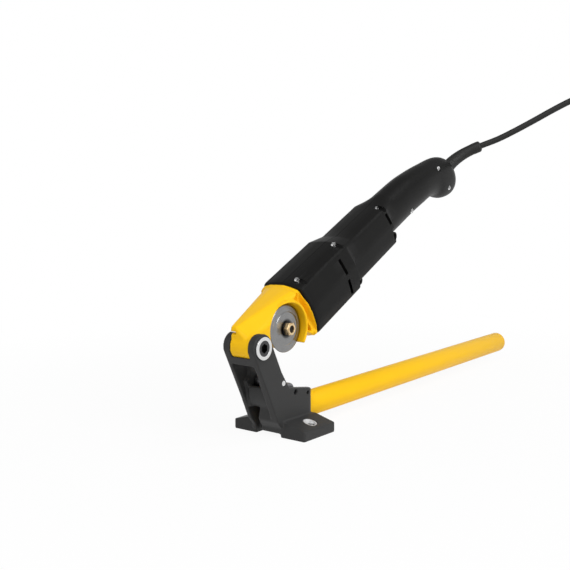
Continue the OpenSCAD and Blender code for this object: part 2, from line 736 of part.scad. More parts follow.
module housing_half(side) {
    difference() {
        intersection() {
            union() {
                difference() {
                    shell_solid(0, 0, 0);
                    shell_solid(wall, 1, 3);
                }
                intersection() {
                    shell_solid(0.4, 0, 1);
                    shell_posts();
                }
                for (p = low_screws) translate([0, p[0], p[1]]) cyl_x(post_r + 0.8, -p[2] - 5, p[2] + 5);
            }
            translate([side < 0 ? -60 : 0, 0, -90]) cube([60, 600, 180]);
        }
        cyl_y(spigot_r + fit_gap, shell_s - 1, shell_s + spigot_l + 0.3);
        vent_slots();
        // screws: shank bores, head seats and the open channels on top
        for (p = shell_screws) translate([0, p[0], p[1]]) {
            cyl_x(shank_r + fit_gap, p[2] - shank_l, 60);
            cyl_x(head_r + 0.3, p[2], 60);
        }
        for (p = top_screws) translate([p[2], p[0] - head_r - 1.8, p[1]]) cube([60, 2 * head_r + 2.1, 20]);
        // trigger opening and its pin
        translate([-trigger_w / 2 - 0.4, trigger_s - 4, -40]) cube([trigger_w + 0.8, trigger_l + 6.5, 28]);
        translate([0, trigger_s, trigger_n]) cyl_x(trigger_pin_r + fit_gap, -trigger_w, trigger_w);
        // throat of the bend relief
        translate([0, grip_end, -12.7]) cyl_y(relief_d / 2 + 0.6, -16, 10);
    }
}
module housing_near() { color(black_plastic) on_motor() housing_half(1); }
module housing_far() { color(black_plastic) on_motor() housing_half(-1); }

// Pan head screws of the housing
module housing_screws() {
    color(steel) on_motor() for (p = shell_screws) translate([0, p[0], p[1]]) difference() {
        union() {
            cyl_x(head_r, p[2] + 0.02, p[2] + head_l);
            cyl_x(shank_r, p[2] - shank_l + 0.5, p[2] + 1);
        }
        translate([p[2] + head_l - 1, -0.5, -2.2]) cube([2, 1, 4.4]);
        translate([p[2] + head_l - 1, -2.2, -0.5]) cube([2, 4.4, 1]);
    }
}

// Motor: stator, bearings and brushes stand still, the armature turns
module stator() {
    color(dark_steel) on_motor() difference() {
        cyl_y(stator_r, stator_s, stator_s + stator_l);
        cyl_y(core_r + pass_gap, stator_s - 1, stator_s + stator_l + 1);
    }
}
module bearing(s0) {
    difference() {
        cyl_y(bearing_r, s0, s0 + bearing_l);
        cyl_y(shaft_r + run_gap, s0 - 1, s0 + bearing_l + 1);
    }
}
module front_bearing() { color(steel) on_motor() bearing(front_bearing_s); }
module rear_bearing() { color(steel) on_motor() bearing(rear_s); }
module brush_holders() {
    color(bronze) on_motor() for (s = [-1, 1])
        translate([-3.5, comm_s + 3, s < 0 ? -18 : 10 + run_gap * 4]) cube([7, 8, 8 - run_gap * 4]);
}
module motor_shaft() { color(steel) on_motor() cyl_y(shaft_r, carrier_s + 9, rear_s + bearing_l + 2); }
module on_shaft(s0, s1, r) {
    difference() {
        cyl_y(r, s0, s1);
        cyl_y(shaft_r + fit_gap, s0 - 1, s1 + 1);
    }
}
module armature_core() { color(dark_steel) on_motor() on_shaft(stator_s, stator_s + stator_l, core_r); }
module commutator() { color(copper) on_motor() on_shaft(comm_s, comm_s + comm_l, 10); }
module fan() {
    color(black_plastic) on_motor() difference() {
        union() {
            cyl_y(7, fan_s, fan_s + fan_l);
            cyl_y(20, fan_s, fan_s + 2);
            for (a = [0:40:320]) rotate([0, a, 0]) translate([5, fan_s, -0.8]) cube([15, fan_l, 1.6]);
        }
        cyl_y(shaft_r + fit_gap, fan_s - 1, fan_s + fan_l + 1);
    }
}

// Reduction: fixed ring, turning carrier with its pinion, crown gear on the spindle
module ring_gear() {
    color(dark_steel) on_motor() difference() {
        cyl_y(ring_r, carrier_s, shell_s - 4.2);
        cyl_y(ring_in_r, carrier_s - 1, shell_s);
    }
}
module pinion_carrier() {
    color(steel) on_motor() difference() {
        union() {
            cyl_y(pinion_r, wheel_s + 7.5, carrier_s + 1);
            cyl_y(ring_in_r - run_gap, carrier_s + 0.3, shell_s - 4.6);
        }
        cyl_y(shaft_r + run_gap, carrier_s + 8.6, shell_s);
    }
}
module crown_gear() {
    color(dark_steel) on_wheel() difference() {
        cyl_x(gear_r, gear_x, gear_x + gear_t);
        cyl_x(spindle_r + fit_gap, gear_x - 1, gear_x + gear_t + 1);
    }
}
module spindle() {
    color(steel) on_wheel() {
        cyl_x(spindle_r, case_x, -wheel_t / 2 - 0.9);
        cyl_x(spindle_flange_r, -wheel_t / 2 - 1, -wheel_t / 2);
        cyl_x(thread_r, -wheel_t / 2 - 1, wheel_t / 2 + washer_t + nut_l - 1.6);
    }
}

// Cutter wheel with a bevelled cutting edge
module cutter_wheel() {
    t = wheel_t / 2;
    color(steel) on_wheel() rotate([0, 90, 0]) rotate_extrude($fn = 96)
        polygon([[thread_r + fit_gap, -t], [wheel_r * 0.66, -t], [wheel_r * 0.7, -t + 0.5],
            [wheel_r - 0.5, -0.5], [wheel_r, 0], [wheel_r - 0.5, 0.5], [wheel_r * 0.7, t - 0.5],
            [wheel_r * 0.66, t], [thread_r + fit_gap, t]]);
}
module wheel_washer() {
    color(dark_steel) on_wheel() difference() {
        cyl_x(7.2, wheel_t / 2, wheel_t / 2 + washer_t);
        cyl_x(thread_r + fit_gap, 0, 20);
    }
}
module wheel_nut() {
    x0 = wheel_t / 2 + washer_t;
    color(bronze) on_wheel() difference() {
        union() {
            hex_x(nut_af, x0, x0 + nut_l - 0.7);
            cyl_x(nut_af / 2 - 0.3, x0 + 4, x0 + nut_l);
        }
        cyl_x(thread_r + fit_gap, 0, 30);
    }
}

// Switch in the grip and its trigger
module switch_body() {
    s0 = grip_screws[2][0] + post_r + fit_gap;
    color(black_plastic) on_motor() translate([-9, s0, -11]) cube([18, 36, 21]);
}
module trigger() {
    color(black_plastic) on_motor() difference() {
        union() {
            translate([-trigger_w / 2, trigger_s, -22.2]) cube([trigger_w, trigger_l, 6.7]);
            translate([0, trigger_s, trigger_n]) cyl_x(3, -trigger_w / 2, trigger_w / 2);
        }
        translate([0, trigger_s, trigger_n]) cyl_x(trigger_pin_r + run_gap, -trigger_w, trigger_w);
        // finger curve
        translate([0, trigger_s + trigger_l / 2, -61]) cyl_x(40, -trigger_w, trigger_w);
    }
}
module trigger_pin() {
    x1 = trigger_w - 1;
    color(steel) on_motor() translate([0, trigger_s, trigger_n]) cyl_x(trigger_pin_r, -x1, x1);
}

// Tapered bend relief
module bend_relief() {
    n = 9;
    root = relief_at - unit(relief_way - relief_at) * 9;
    p = concat([root], [for (k = [0:n]) bend_at(k / n)]);
    color(rubber) sweep_taper(p, relief_d / 2, relief_end_d / 2, 16);
}
// Taper that ends in a short collar
module sweep_taper(p, r0, r1, sides) {
    collar = 1.04;
    a = frames(p, 0, [0, 0, 1]);
    m = len(p);
    radii = [for (i = [0:m - 1]) i > m - 3 ? r1 * collar : r0 + (r1 - r0) * i / (m - 3)];
    pts = [for (i = [0:m - 1]) let (b = cross(heading(p, i), a[i]))
        for (k = [0:sides - 1]) p[i] + radii[i] * (a[i] * cos(360 * k / sides) + b * sin(360 * k / sides))];
    n = sides;
    side_faces = [for (i = [0:m - 2]) for (k = [0:n - 1]) let (q = (k + 1) % n)
        each [[i * n + k, (i + 1) * n + q, i * n + q], [i * n + k, (i + 1) * n + k, (i + 1) * n + q]]];
    caps = [[for (k = [0:n - 1]) k], [for (k = [n - 1:-1:0]) (m - 1) * n + k]];
    polyhedron(points = pts, faces = concat(side_faces, caps), convexity = 4);
}

// Lead: free stretch, put-away coil in two layers, tail and plug
coil_turns = 2 * layer_turns + 0.5;
coil_steps = round(24 * coil_turns);
// The winding runs inwards on the floor, climbs in the half turn where it reverses, and runs out on top
function coil_point(t) = let (
    mid = coil_turns / 2,
    climb = max(0, min(1, (t - layer_turns) / 0.5)),
    r = coil_r - layer_z * (mid - abs(t - mid)),
    a = coil_in_deg + 360 * t)
    [coil_at[0] + r * cos(a), coil_at[1] + r * sin(a), coil_z + layer_z * (1 - cos(180 * climb)) / 2];
coil_line = [for (i = [0:coil_steps]) coil_point(coil_turns * i / coil_steps)];
coil_end = coil_line[coil_steps];
coil_out_deg = coil_in_deg + 360 * coil_turns;
coil_end_way = [-sin(coil_out_deg), cos(coil_out_deg), 0];
coil_start_way = [-sin(coil_in_deg), cos(coil_in_deg), 0];
module cord_coil() {
    p = concat([coil_line[0] - coil_start_way * cord_d], coil_line, [coil_end + coil_end_way * cord_d]);
    color(rubber) sweep(p, cord_r, 6);
}
// Least clear distance between turns, measured on the points of the winding
coil_gap = min([for (i = [0:3:coil_steps - 13]) for (j = [i + 12:coil_steps])
    norm(coil_line[i] - coil_line[j])]) - cord_d;
echo(coil_least_gap = coil_gap);

module power_cord() {
    p = concat(lead_points, [coil_line[0] - coil_start_way * (cord_d + 0.1)]);
    color(rubber) sweep(p, cord_r, 8);
}
// The tail turns a quarter circle to the right and ends level in the plug
tail_at = coil_end + coil_end_way * (cord_d + 0.5);
tail_side = cross(coil_end_way, [0, 0, 1]);
plug_h = 26;
plug_lift = plug_h / 2 + 0.1 - tail_at[2];
function tail_point(f) = tail_at + tail_r * (coil_end_way * sin(f) + tail_side * (1 - cos(f)))
    + [0, 0, plug_lift * (1 - cos(2 * f)) / 2];
plug_at = tail_point(90) + tail_side * 8;
module cord_tail() {
    p = concat([for (f = [0:10:90]) tail_point(f)], [plug_at - tail_side * 0.1]);
    color(rubber) sweep(p, cord_r, 8);
}

// Tie round the bundle
module coil_tie() {
    r0 = coil_r - layer_z * coil_turns / 2 - cord_r - 0.3;
    r1 = coil_r + cord_r + 0.3;
    h = coil_z + layer_z + cord_r + 0.3;
    z0 = coil_z - cord_r - 0.3;
    color(black_plastic) translate([coil_at[0], coil_at[1], 0]) rotate([0, 0, 150]) difference() {
        translate([r0 - tie_t, -tie_w / 2, z0 - tie_t])
            cube([r1 - r0 + 2 * tie_t, tie_w, h - z0 + 2 * tie_t]);
        translate([r0, -tie_w, z0]) cube([r1 - r0, 2 * tie_w, h - z0]);
    }
}

// Two-pin plug with a tapered neck and an oval body
module plug() {
    way = atan2(tail_side[1], tail_side[0]);
    side = (plug_d - plug_h) / 2;
    color(rubber) translate(plug_at) rotate([0, 0, way - 90]) rotate([-90, 0, 0]) {
        cylinder(r1 = cord_r + 1.2, r2 = cord_r + 3.4, h = 16);
        translate([0, 0, 15.5]) cylinder(r1 = cord_r + 3.4, r2 = plug_h / 2 - 0.5, h = 9);
        translate([0, 0, 24]) linear_extrude(30) {
            square([2 * side, plug_h], center = true);
            for (s = [-1, 1]) translate([s * side, 0]) circle(r = plug_h / 2);
        }
        for (s = [-1, 1]) translate([s * 9.5, 0, 53]) cylinder(r = 2.4, h = 19);
    }
}

stand();
pivot_sleeve();
pivot_screw();
pivot_nut();
front_axle();
low_axle();
roller_spacers();
tube_set_screw();
holding_tube();
tube_end_cap();
roller_front_near();
roller_front_far();
roller_low_near();
roller_low_far();
gear_head();
gear_cover();
cover_screws();
stop_pin();
spindle_bush();
housing_near();
housing_far();
housing_screws();
stator();
front_bearing();
rear_bearing();
brush_holders();
ring_gear();
switch_body();
bend_relief();
spindle();
cutter_wheel();
wheel_washer();
wheel_nut();
crown_gear();
motor_shaft();
armature_core();
commutator();
fan();
pinion_carrier();
trigger();
trigger_pin();
power_cord();
cord_coil();
cord_tail();
coil_tie();
plug();
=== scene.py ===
"""Looks of an electric pipe cutter: a motor lever with a cutter wheel on a cast bench stand."""

import logging
from collections.abc import Iterable, Sequence
from dataclasses import dataclass, field
from enum import Enum
from functools import cached_property
from math import atan2, copysign, cos, degrees, pi, radians, remainder, sin
from typing import ClassVar

import bmesh
import bpy
from mathutils import Matrix, Vector


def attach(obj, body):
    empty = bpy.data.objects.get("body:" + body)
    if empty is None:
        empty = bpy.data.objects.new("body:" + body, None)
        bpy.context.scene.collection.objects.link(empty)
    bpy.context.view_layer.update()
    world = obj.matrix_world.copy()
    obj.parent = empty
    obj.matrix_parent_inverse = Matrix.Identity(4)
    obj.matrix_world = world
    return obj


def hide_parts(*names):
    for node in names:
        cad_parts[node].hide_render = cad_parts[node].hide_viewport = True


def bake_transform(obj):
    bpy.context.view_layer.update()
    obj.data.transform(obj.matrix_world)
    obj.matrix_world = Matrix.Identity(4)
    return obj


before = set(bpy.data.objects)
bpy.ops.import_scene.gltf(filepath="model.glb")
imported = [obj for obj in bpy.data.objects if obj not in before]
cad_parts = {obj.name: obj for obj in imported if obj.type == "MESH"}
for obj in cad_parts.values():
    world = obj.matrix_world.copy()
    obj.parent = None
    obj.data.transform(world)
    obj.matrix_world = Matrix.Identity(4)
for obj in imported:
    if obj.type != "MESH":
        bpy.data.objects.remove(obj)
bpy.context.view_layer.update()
LOG = logging.getLogger("pipe_cutter")
MM = 0.001
EVEN = (1.0, 1.0, 1.0)
WORLD = Matrix.Identity(4)
Object = bpy.types.Object
Material = bpy.types.Material
Number = int | float
Value = Vector | float
Pair = tuple[float, float]
Point = tuple[float, float, float]
Colour = tuple[float, float, float]
Pairs = tuple[Pair, ...]
Points = tuple[Point, ...]

# Hinge of the lever in metres, its lift at rest in degrees, and the motor axis beside it in millimetres.
PIVOT: Point = (0.0, -0.054, 0.0895)
REST_LIFT = 27.0
MOTOR_AXIS: Point = (-18.0, 0.0, -18.8)

# The lever and the motor axis at rest, in millimetres of their own frames.
SCALE = Matrix.Diagonal((MM, MM, MM, 1.0))
LEVER = Matrix.Translation(PIVOT) @ Matrix.Rotation(radians(REST_LIFT), 4, "X") @ SCALE
MOTOR = LEVER @ Matrix.Translation(MOTOR_AXIS)


def linked(name: str, data: bpy.types.ID) -> Object:
    """New object of the scene with its data, at the origin.

    Args:
        name: name of the object.
        data: mesh, curve, camera or light.

    Returns:
        The object.
    """
    made = bpy.data.objects.new(name, data)
    bpy.context.scene.collection.objects.link(made)
    return made


def hermite(a: Value, b: Value, leave: Value, meet: Value, u: float) -> Value:
    """Value at share u of a smooth curve from a to b, with its slopes at both ends."""
    return (a * (2 * u ** 3 - 3 * u ** 2 + 1) + leave * (u ** 3 - 2 * u ** 2 + u)
            + b * (3 * u ** 2 - 2 * u ** 3) + meet * (u ** 3 - u ** 2))


def circle(steps: int) -> list[float]:
    """Angles of a full turn in even steps."""
    return [2 * pi * k / steps for k in range(steps)]


class Body(Enum):
    """Moving bodies that new pieces ride on."""

    BASE = "base"
    LEVER = "lever"


class Slot(Enum):
    """Material slots of the record."""

    BLACK_COAT = "black_coat"
    YELLOW_COAT = "yellow_coat"
    PLASTIC = "housing_plastic"
    BRIGHT = "bright_steel"
    RUBBER = "black_rubber"


class Cut(Enum):
    """Ways to combine two closed meshes."""

    TAKE = "DIFFERENCE"
    JOIN = "UNION"


class Wire:
    """One socket of a shader graph, with arithmetic that adds Math nodes."""

    def __init__(self, graph: "Graph", socket: bpy.types.NodeSocket) -> None:
        """Keeps the graph and the socket."""
        self.graph = graph
        self.socket = socket

    def _math(self, operation: str, first: "Wire | Number", second: "Wire | Number") -> "Wire":
        """Result of one Math node."""
        return self.graph.node("ShaderNodeMath", {"operation": operation}, {0: first, 1: second})

    def __add__(self, other: "Wire | Number") -> "Wire":
        """Sum."""
        return self._math("ADD", self, other)

    def __sub__(self, other: "Wire | Number") -> "Wire":
        """Difference."""
        return self._math("SUBTRACT", self, other)

    def __rsub__(self, other: Number) -> "Wire":
        """Difference from a number."""
        return self._math("SUBTRACT", other, self)

    def __mul__(self, other: "Wire | Number") -> "Wire":
        """Product."""
        return self._math("MULTIPLY", self, other)

    __radd__ = __add__
    __rmul__ = __mul__


class Graph:
    """Shader graph of one material or of the world."""

    def __init__(self, owner: Material | bpy.types.World) -> None:
        """Empties the owner's node tree.

        Args:
            owner: material or world that gets the graph.
        """
        owner.use_nodes = True
        self.tree = owner.node_tree
        self.tree.nodes.clear()

    def node(self, kind: str, settings: dict[str, object], sockets: dict[str | int, object],
             out: str | int = 0) -> Wire:
        """Adds one node.

        Args:
            kind: node type.
            settings: properties that are set first.
            sockets: values or wires by socket name or number.
            out: output that is returned.

        Returns:
            The chosen output, or the first input of a node without outputs.
        """
        made = self.tree.nodes.new(kind)
        for name, value in settings.items():
            setattr(made, name, value)
        for name, value in sockets.items():
            if isinstance(value, Wire):
                self.tree.links.new(value.socket, made.inputs[name])
            elif isinstance(value, tuple) and made.inputs[name].type == "RGBA":
                made.inputs[name].default_value = (*value[:3], 1.0)
            else:
                made.inputs[name].default_value = value
        return Wire(self, made.outputs[out] if made.outputs else made.inputs[0])

    def place(self, stretch: Point) -> Wire:
        """Object coordinates in metres, stretched along the axes."""
        at = self.node("ShaderNodeTexCoord", {}, {}, "Object")
        return self.node("ShaderNodeMapping", {}, {"Vector": at, "Scale": stretch})

    def far(self, point: Point, stretch: Point = EVEN) -> Wire:
        """Distance of the stretched coordinates from a point."""
        return self.node("ShaderNodeVectorMath", {"operation": "DISTANCE"},
                         {0: self.place(stretch), 1: point}, "Value")

    def seen(self) -> Wire:
        """Marks the rays that see a backdrop: from the camera, off gloss and through clear pieces.

        Returns:
            1 on these rays and 0 on the others.
        """
        path = self.node("ShaderNodeLightPath", {}, {}).socket.node.outputs
        camera, gloss, clear = (Wire(self, path[name])
                                for name in ("Is Camera Ray", "Is Glossy Ray", "Is Transmission Ray"))
        return camera + gloss + clear

    def noise(self, size: float, detail: float, stretch: Point = EVEN) -> Wire:
        """Noise round 0.5 with spots of about a size in metres, in octaves, stretched along the axes."""
        return self.node("ShaderNodeTexNoise", {},
                         {"Vector": self.place(stretch), "Scale": 1.0 / size, "Detail": detail})

    def fade(self, value: Wire, across: Pair, result: Pair) -> Wire:
        """Smooth change between two results while a value goes across a span."""
        return self.node("ShaderNodeMapRange", {"interpolation_type": "SMOOTHSTEP"},
                         {"Value": value, "From Min": across[0], "From Max": across[1],
                          "To Min": result[0], "To Max": result[1]})

    def blend(self, share: Wire | float, first: Wire | Colour, second: Wire | Colour) -> Wire:
        """Mix of two colours by the share of the second."""
        return self.node("ShaderNodeMix", {"data_type": "RGBA"}, {0: share, 6: first, 7: second}, 2)

    def bump(self, height: Wire, depth: float) -> Wire:
        """Normal of a relief from 0 to 1 with its full depth in metres."""
        return self.node("ShaderNodeBump", {}, {"Height": height, "Distance": depth, "Strength": 1.0},
                         "Normal")


@dataclass(frozen=True)
class Finish:
    """Base of the finishes: broad patches and a fine pattern vary the tone and the gloss."""

    name: str
    light: Colour
    dark: Colour
    roughness: float
    level: float = 0.5
    depth: float = 0.000012
    patch: ClassVar[Pair] = (0.012, 3.0)
    fine_share: ClassVar[float] = 0.5
    fine_gloss: ClassVar[float] = 0.2
    patch_gloss: ClassVar[float] = 0.1
    metallic: ClassVar[float] = 1.0

    def fine(self, g: Graph) -> tuple[Wire, Wire]:
        """Fine pattern of the tone and relief of the surface."""
        raise NotImplementedError

    def tint(self, g: Graph, tone: Wire) -> Wire:
        """Last change of the tone."""
        return tone

    def material(self) -> Material:
        """Builds the material.

        Returns:
            The material.
        """
        made = bpy.data.materials.new(self.name)
        g = Graph(made)
        patch = g.noise(*self.patch)
        fine, relief = self.fine(g)
        tone = g.blend(patch * (1 - self.fine_share) + fine * self.fine_share, self.dark, self.light)
        rough = self.roughness + (fine - 0.5) * self.fine_gloss + (patch - 0.5) * self.patch_gloss
        shader = g.node("ShaderNodeBsdfPrincipled", {}, {
            "Base Color": self.tint(g, tone), "Metallic": self.metallic, "Roughness": rough,
            "Normal": g.bump(relief, self.depth), "Specular IOR Level": self.level})
        g.node("ShaderNodeOutputMaterial", {}, {"Surface": shader})
        return made


@dataclass(frozen=True)
class CoatFinish(Finish):
    """Baked coating on a casting or a tube, with orange peel and faint patches."""

    depth: float = 0.00004
    patch = (0.035, 4.0)
    speck = (0.0025, 3.0)
    peel = (0.0011, 2.0)
    fine_share, fine_gloss, patch_gloss, metallic = 0.4, 0.16, 0.12, 0.0

    def fine(self, g: Graph) -> tuple[Wire, Wire]:
        """Specks and orange peel."""
        return g.noise(*self.speck), g.noise(*self.peel)


@dataclass(frozen=True)
class MouldFinish(Finish):
    """Moulded plastic or rubber with a fine eroded grain."""

    depth: float = 0.00005
    grain: float = 0.0006
    pit_size = 2.6
    pit_share = 0.4
    patch = (0.03, 4.0)
    fine_share, patch_gloss, metallic = 0.3, 0.14, 0.0

    def fine(self, g: Graph) -> tuple[Wire, Wire]:
        """Grain, and the same with wider pits."""
        grain, pits = g.noise(self.grain, 3.0), g.noise(self.grain * self.pit_size, 2.0)
        return grain, grain * (1 - self.pit_share) + pits * self.pit_share


@dataclass(frozen=True)
class MetalFinish(Finish):
    """Bare metal with a drawn grain along X."""

    lines = (0.0005, 3.0, (0.08, 1.0, 1.0))

    def fine(self, g: Graph) -> tuple[Wire, Wire]:
        """Drawn lines."""
        return (g.noise(*self.lines),) * 2


@dataclass(frozen=True)
class TurnedFinish(Finish):
    """Bare metal faced on a lathe: rings round an axle along X, and painted shade round the hub where it has
    a radius.
    """

    depth: float = 0.00003
    axle: Pair = (0.0, 0.0)
    ring: float = 0.0007
    # Radius, colour and soft edge of the painted shade round the hub.
    hub_shade_r: float = 0.0
    hub_shade: Colour = (0.05, 0.05, 0.05)
    hub_shade_edge = 0.75
    fine_share, fine_gloss = 0.6, 0.3

    def radius(self, g: Graph) -> Wire:
        """Distance from the axle."""
        return g.far((0.0, *self.axle), (0.0, 1.0, 1.0))

    def fine(self, g: Graph) -> tuple[Wire, Wire]:
        """Turned rings."""
        at = g.node("ShaderNodeCombineXYZ", {}, {0: self.radius(g)})
        return (g.node("ShaderNodeTexNoise", {},
                       {"Vector": at, "Scale": 1.0 / self.ring, "Detail": 3.0}),) * 2

    def tint(self, g: Graph, tone: Wire) -> Wire:
        """Paints shade round the hub."""
        span = self.hub_shade_r * self.hub_shade_edge, self.hub_shade_r
        return g.blend(g.fade(self.radius(g), span, (1.0, 0.0)), tone, self.hub_shade) if self.hub_shade_r else tone


def grey(value: float) -> Colour:
    """Colour of equal shares."""
    return value, value, value


def spot(along: float, height: float) -> Pair:
    """Part-frame (y, z) of a point of the lever, in metres."""
    at = LEVER @ Vector((0.0, along, height))
    return at.y, at.z


class Look(Enum):
    """Finishes of the machine."""

    BLACK_COAT = CoatFinish("black_coat", grey(0.040), grey(0.026), 0.46, 0.18)
    YELLOW_COAT = CoatFinish("yellow_coat", (0.99, 0.585, 0.010), (0.94, 0.525, 0.007), 0.42, 0.12)
    PLASTIC = MouldFinish("housing_plastic", (0.0092, 0.0092, 0.0089), (0.0062, 0.0062, 0.006), 0.42, 0.09)
    RUBBER = MouldFinish("cord_rubber", (0.018, 0.018, 0.017), grey(0.010), 0.55, 0.3, 0.00003, 0.0012)
    ZINC = MetalFinish("bench_hole_zinc", grey(0.93), grey(0.82), 0.55)
    STEEL = MetalFinish("bright_steel", grey(0.80), grey(0.58), 0.24)
    DARK_STEEL = MetalFinish("black_steel", (0.030, 0.030, 0.032), (0.016, 0.016, 0.017), 0.42)
    SCREW_BLACK = MetalFinish("screw_black", (0.085, 0.085, 0.088), (0.050, 0.050, 0.052), 0.36)
    ROLLER = MetalFinish("roller_steel", (0.30, 0.30, 0.31), (0.18, 0.18, 0.19), 0.34)
    BRONZE = MetalFinish("bronze", (0.62, 0.42, 0.20), (0.45, 0.28, 0.12), 0.34)
    COPPER = MetalFinish("copper", (0.72, 0.36, 0.18), (0.52, 0.24, 0.11), 0.34)
    BRASS = MetalFinish("nut_gold", (0.86, 0.67, 0.40), (0.66, 0.48, 0.26), 0.3)
    # The wheel gets painted shade round its hub, where the washer and nut shade it.
    WHEEL = TurnedFinish("wheel_steel", grey(0.34), grey(0.16), 0.2, depth=0.00028,
                         axle=spot(54.3, -16.8), hub_shade_r=0.0105)
    SLEEVE = TurnedFinish("sleeve_steel", grey(0.82), grey(0.60), 0.26, axle=spot(0.0, 0.0), ring=0.0009)
    WIRE = MetalFinish("winding_steel", (0.16, 0.15, 0.15), grey(0.08), 0.45)

    @cached_property
    def material(self) -> Material:
        """Material of the finish, built when it is first asked for."""
        return self.value.material()


class Mesher:
    """One closed mesh, made with bmesh operators in millimetres of a frame."""

    touch = 1e-5

    def __init__(self) -> None:
        """Starts an empty mesh."""
        self.bm = bmesh.new()

    def box(self, low: Sequence[float], high: Sequence[float]) -> None:
        """Adds a box.

        Args:
            low: lowest corner.
            high: highest corner.
        """
        middle = (Vector(low) + Vector(high)) / 2
        size = Vector(high) - Vector(low)
        where = Matrix.Translation(middle) @ Matrix.Diagonal((*size, 1.0))
        bmesh.ops.create_cube(self.bm, size=1.0, matrix=where)

    def rod(self, axis: str, radius: float, start: Point, length: float, sides: int) -> None:
        """Adds a cylinder.

        Args:
            axis: X or Y.
            radius: its radius.
            start: middle of its lower end.
            length: its length along the axis.
            sides: number of sides.
        """
        turn = {"X": Matrix.Rotation(pi / 2, 4, "Y"), "Y": Matrix.Rotation(-pi / 2, 4, "X")}[axis]
        where = Matrix.Translation(Vector(start)) @ turn @ Matrix.Translation((0.0, 0.0, length / 2))
        bmesh.ops.create_cone(self.bm, cap_ends=True, cap_tris=False, segments=sides, radius1=radius,
                              radius2=radius, depth=length, matrix=where)

    def loft(self, rings: Sequence[Sequence[Vector]]) -> "Mesher":
        """Adds a closed skin through rings of equal count.

        Args:
            rings: points of each ring, in order.

        Returns:
            This mesh.
        """
        first: list[bmesh.types.BMEdge] = []
        last: list[bmesh.types.BMEdge] = []
        for ring in rings:
            made = bmesh.ops.create_circle(self.bm, cap_ends=False, segments=len(ring), radius=1.0)["verts"]
            for vert, point in zip(made, ring):
                vert.co = point
            edges = list({edge for vert in made for edge in vert.link_edges})
            if last:
                bmesh.ops.bridge_loops(self.bm, edges=last + edges)
            first = first or edges
            last = edges
        for rim in (first, last):
            bmesh.ops.contextual_create(self.bm, geom=rim)
        return self._outward()

    def turned(self, profile: Pairs, middle: Point, steps: int = 48) -> "Mesher":
        """Adds a closed ring turned round an upright axis.

        Args:
            profile: closed outline as (height, radius) pairs.
            middle: foot of the axis.
            steps: steps of the full turn.

        Returns:
            This mesh.
        """
        verts = [self.bm.verts.new(Vector(middle) + Vector((0.0, radius, z))) for z, radius in profile]
        edges = [self.bm.edges.new((a, b)) for a, b in zip(verts, verts[1:] + verts[:1])]
        bmesh.ops.spin(self.bm, geom=verts + edges, cent=middle, axis=(0, 0, 1), angle=2 * pi,
                       steps=steps, use_merge=True)
        bmesh.ops.remove_doubles(self.bm, verts=self.bm.verts[:], dist=self.touch)
        return self._outward()

    def _outward(self) -> "Mesher":
        """Turns all faces outward."""
        bmesh.ops.recalc_face_normals(self.bm, faces=self.bm.faces[:])
        return self

    def _cut(self, point: Sequence[float], outward: Sequence[float]) -> list[bmesh.types.BMEdge]:
        """Takes off what lies beyond a plane and gives the open rim."""
        cut = bmesh.ops.bisect_plane(self.bm, geom=self.bm.verts[:] + self.bm.edges[:] + self.bm.faces[:],
                                     dist=self.touch, plane_co=point, plane_no=outward, clear_outer=True)
        return [item for item in cut["geom_cut"] if isinstance(item, bmesh.types.BMEdge)]

    def half(self, side: int, gap: float) -> "Mesher":
        """Keeps the part at +X or -X, from a gap beside the plane x = 0, and closes the cut."""
        bmesh.ops.contextual_create(self.bm, geom=self._cut((side * gap, 0, 0), (-side, 0, 0)))
        return self._outward()

    def trim(self, point: Sequence[float], outward: Sequence[float]) -> "Mesher":
        """Cuts off what lies beyond a plane and closes the cut ring."""
        bmesh.ops.bridge_loops(self.bm, edges=self._cut(point, outward))
        return self._outward()

    def object(self, name: str, where: Matrix) -> Object:
        """Ends the mesh as an object at the origin.

        Args:
            name: name of the object.
            where: frame of the mesh.

        Returns:
            The object.
        """
        self.bm.transform(where)
        mesh = bpy.data.meshes.new(name)
        self.bm.to_mesh(mesh)
        self.bm.free()
        return linked(name, mesh)


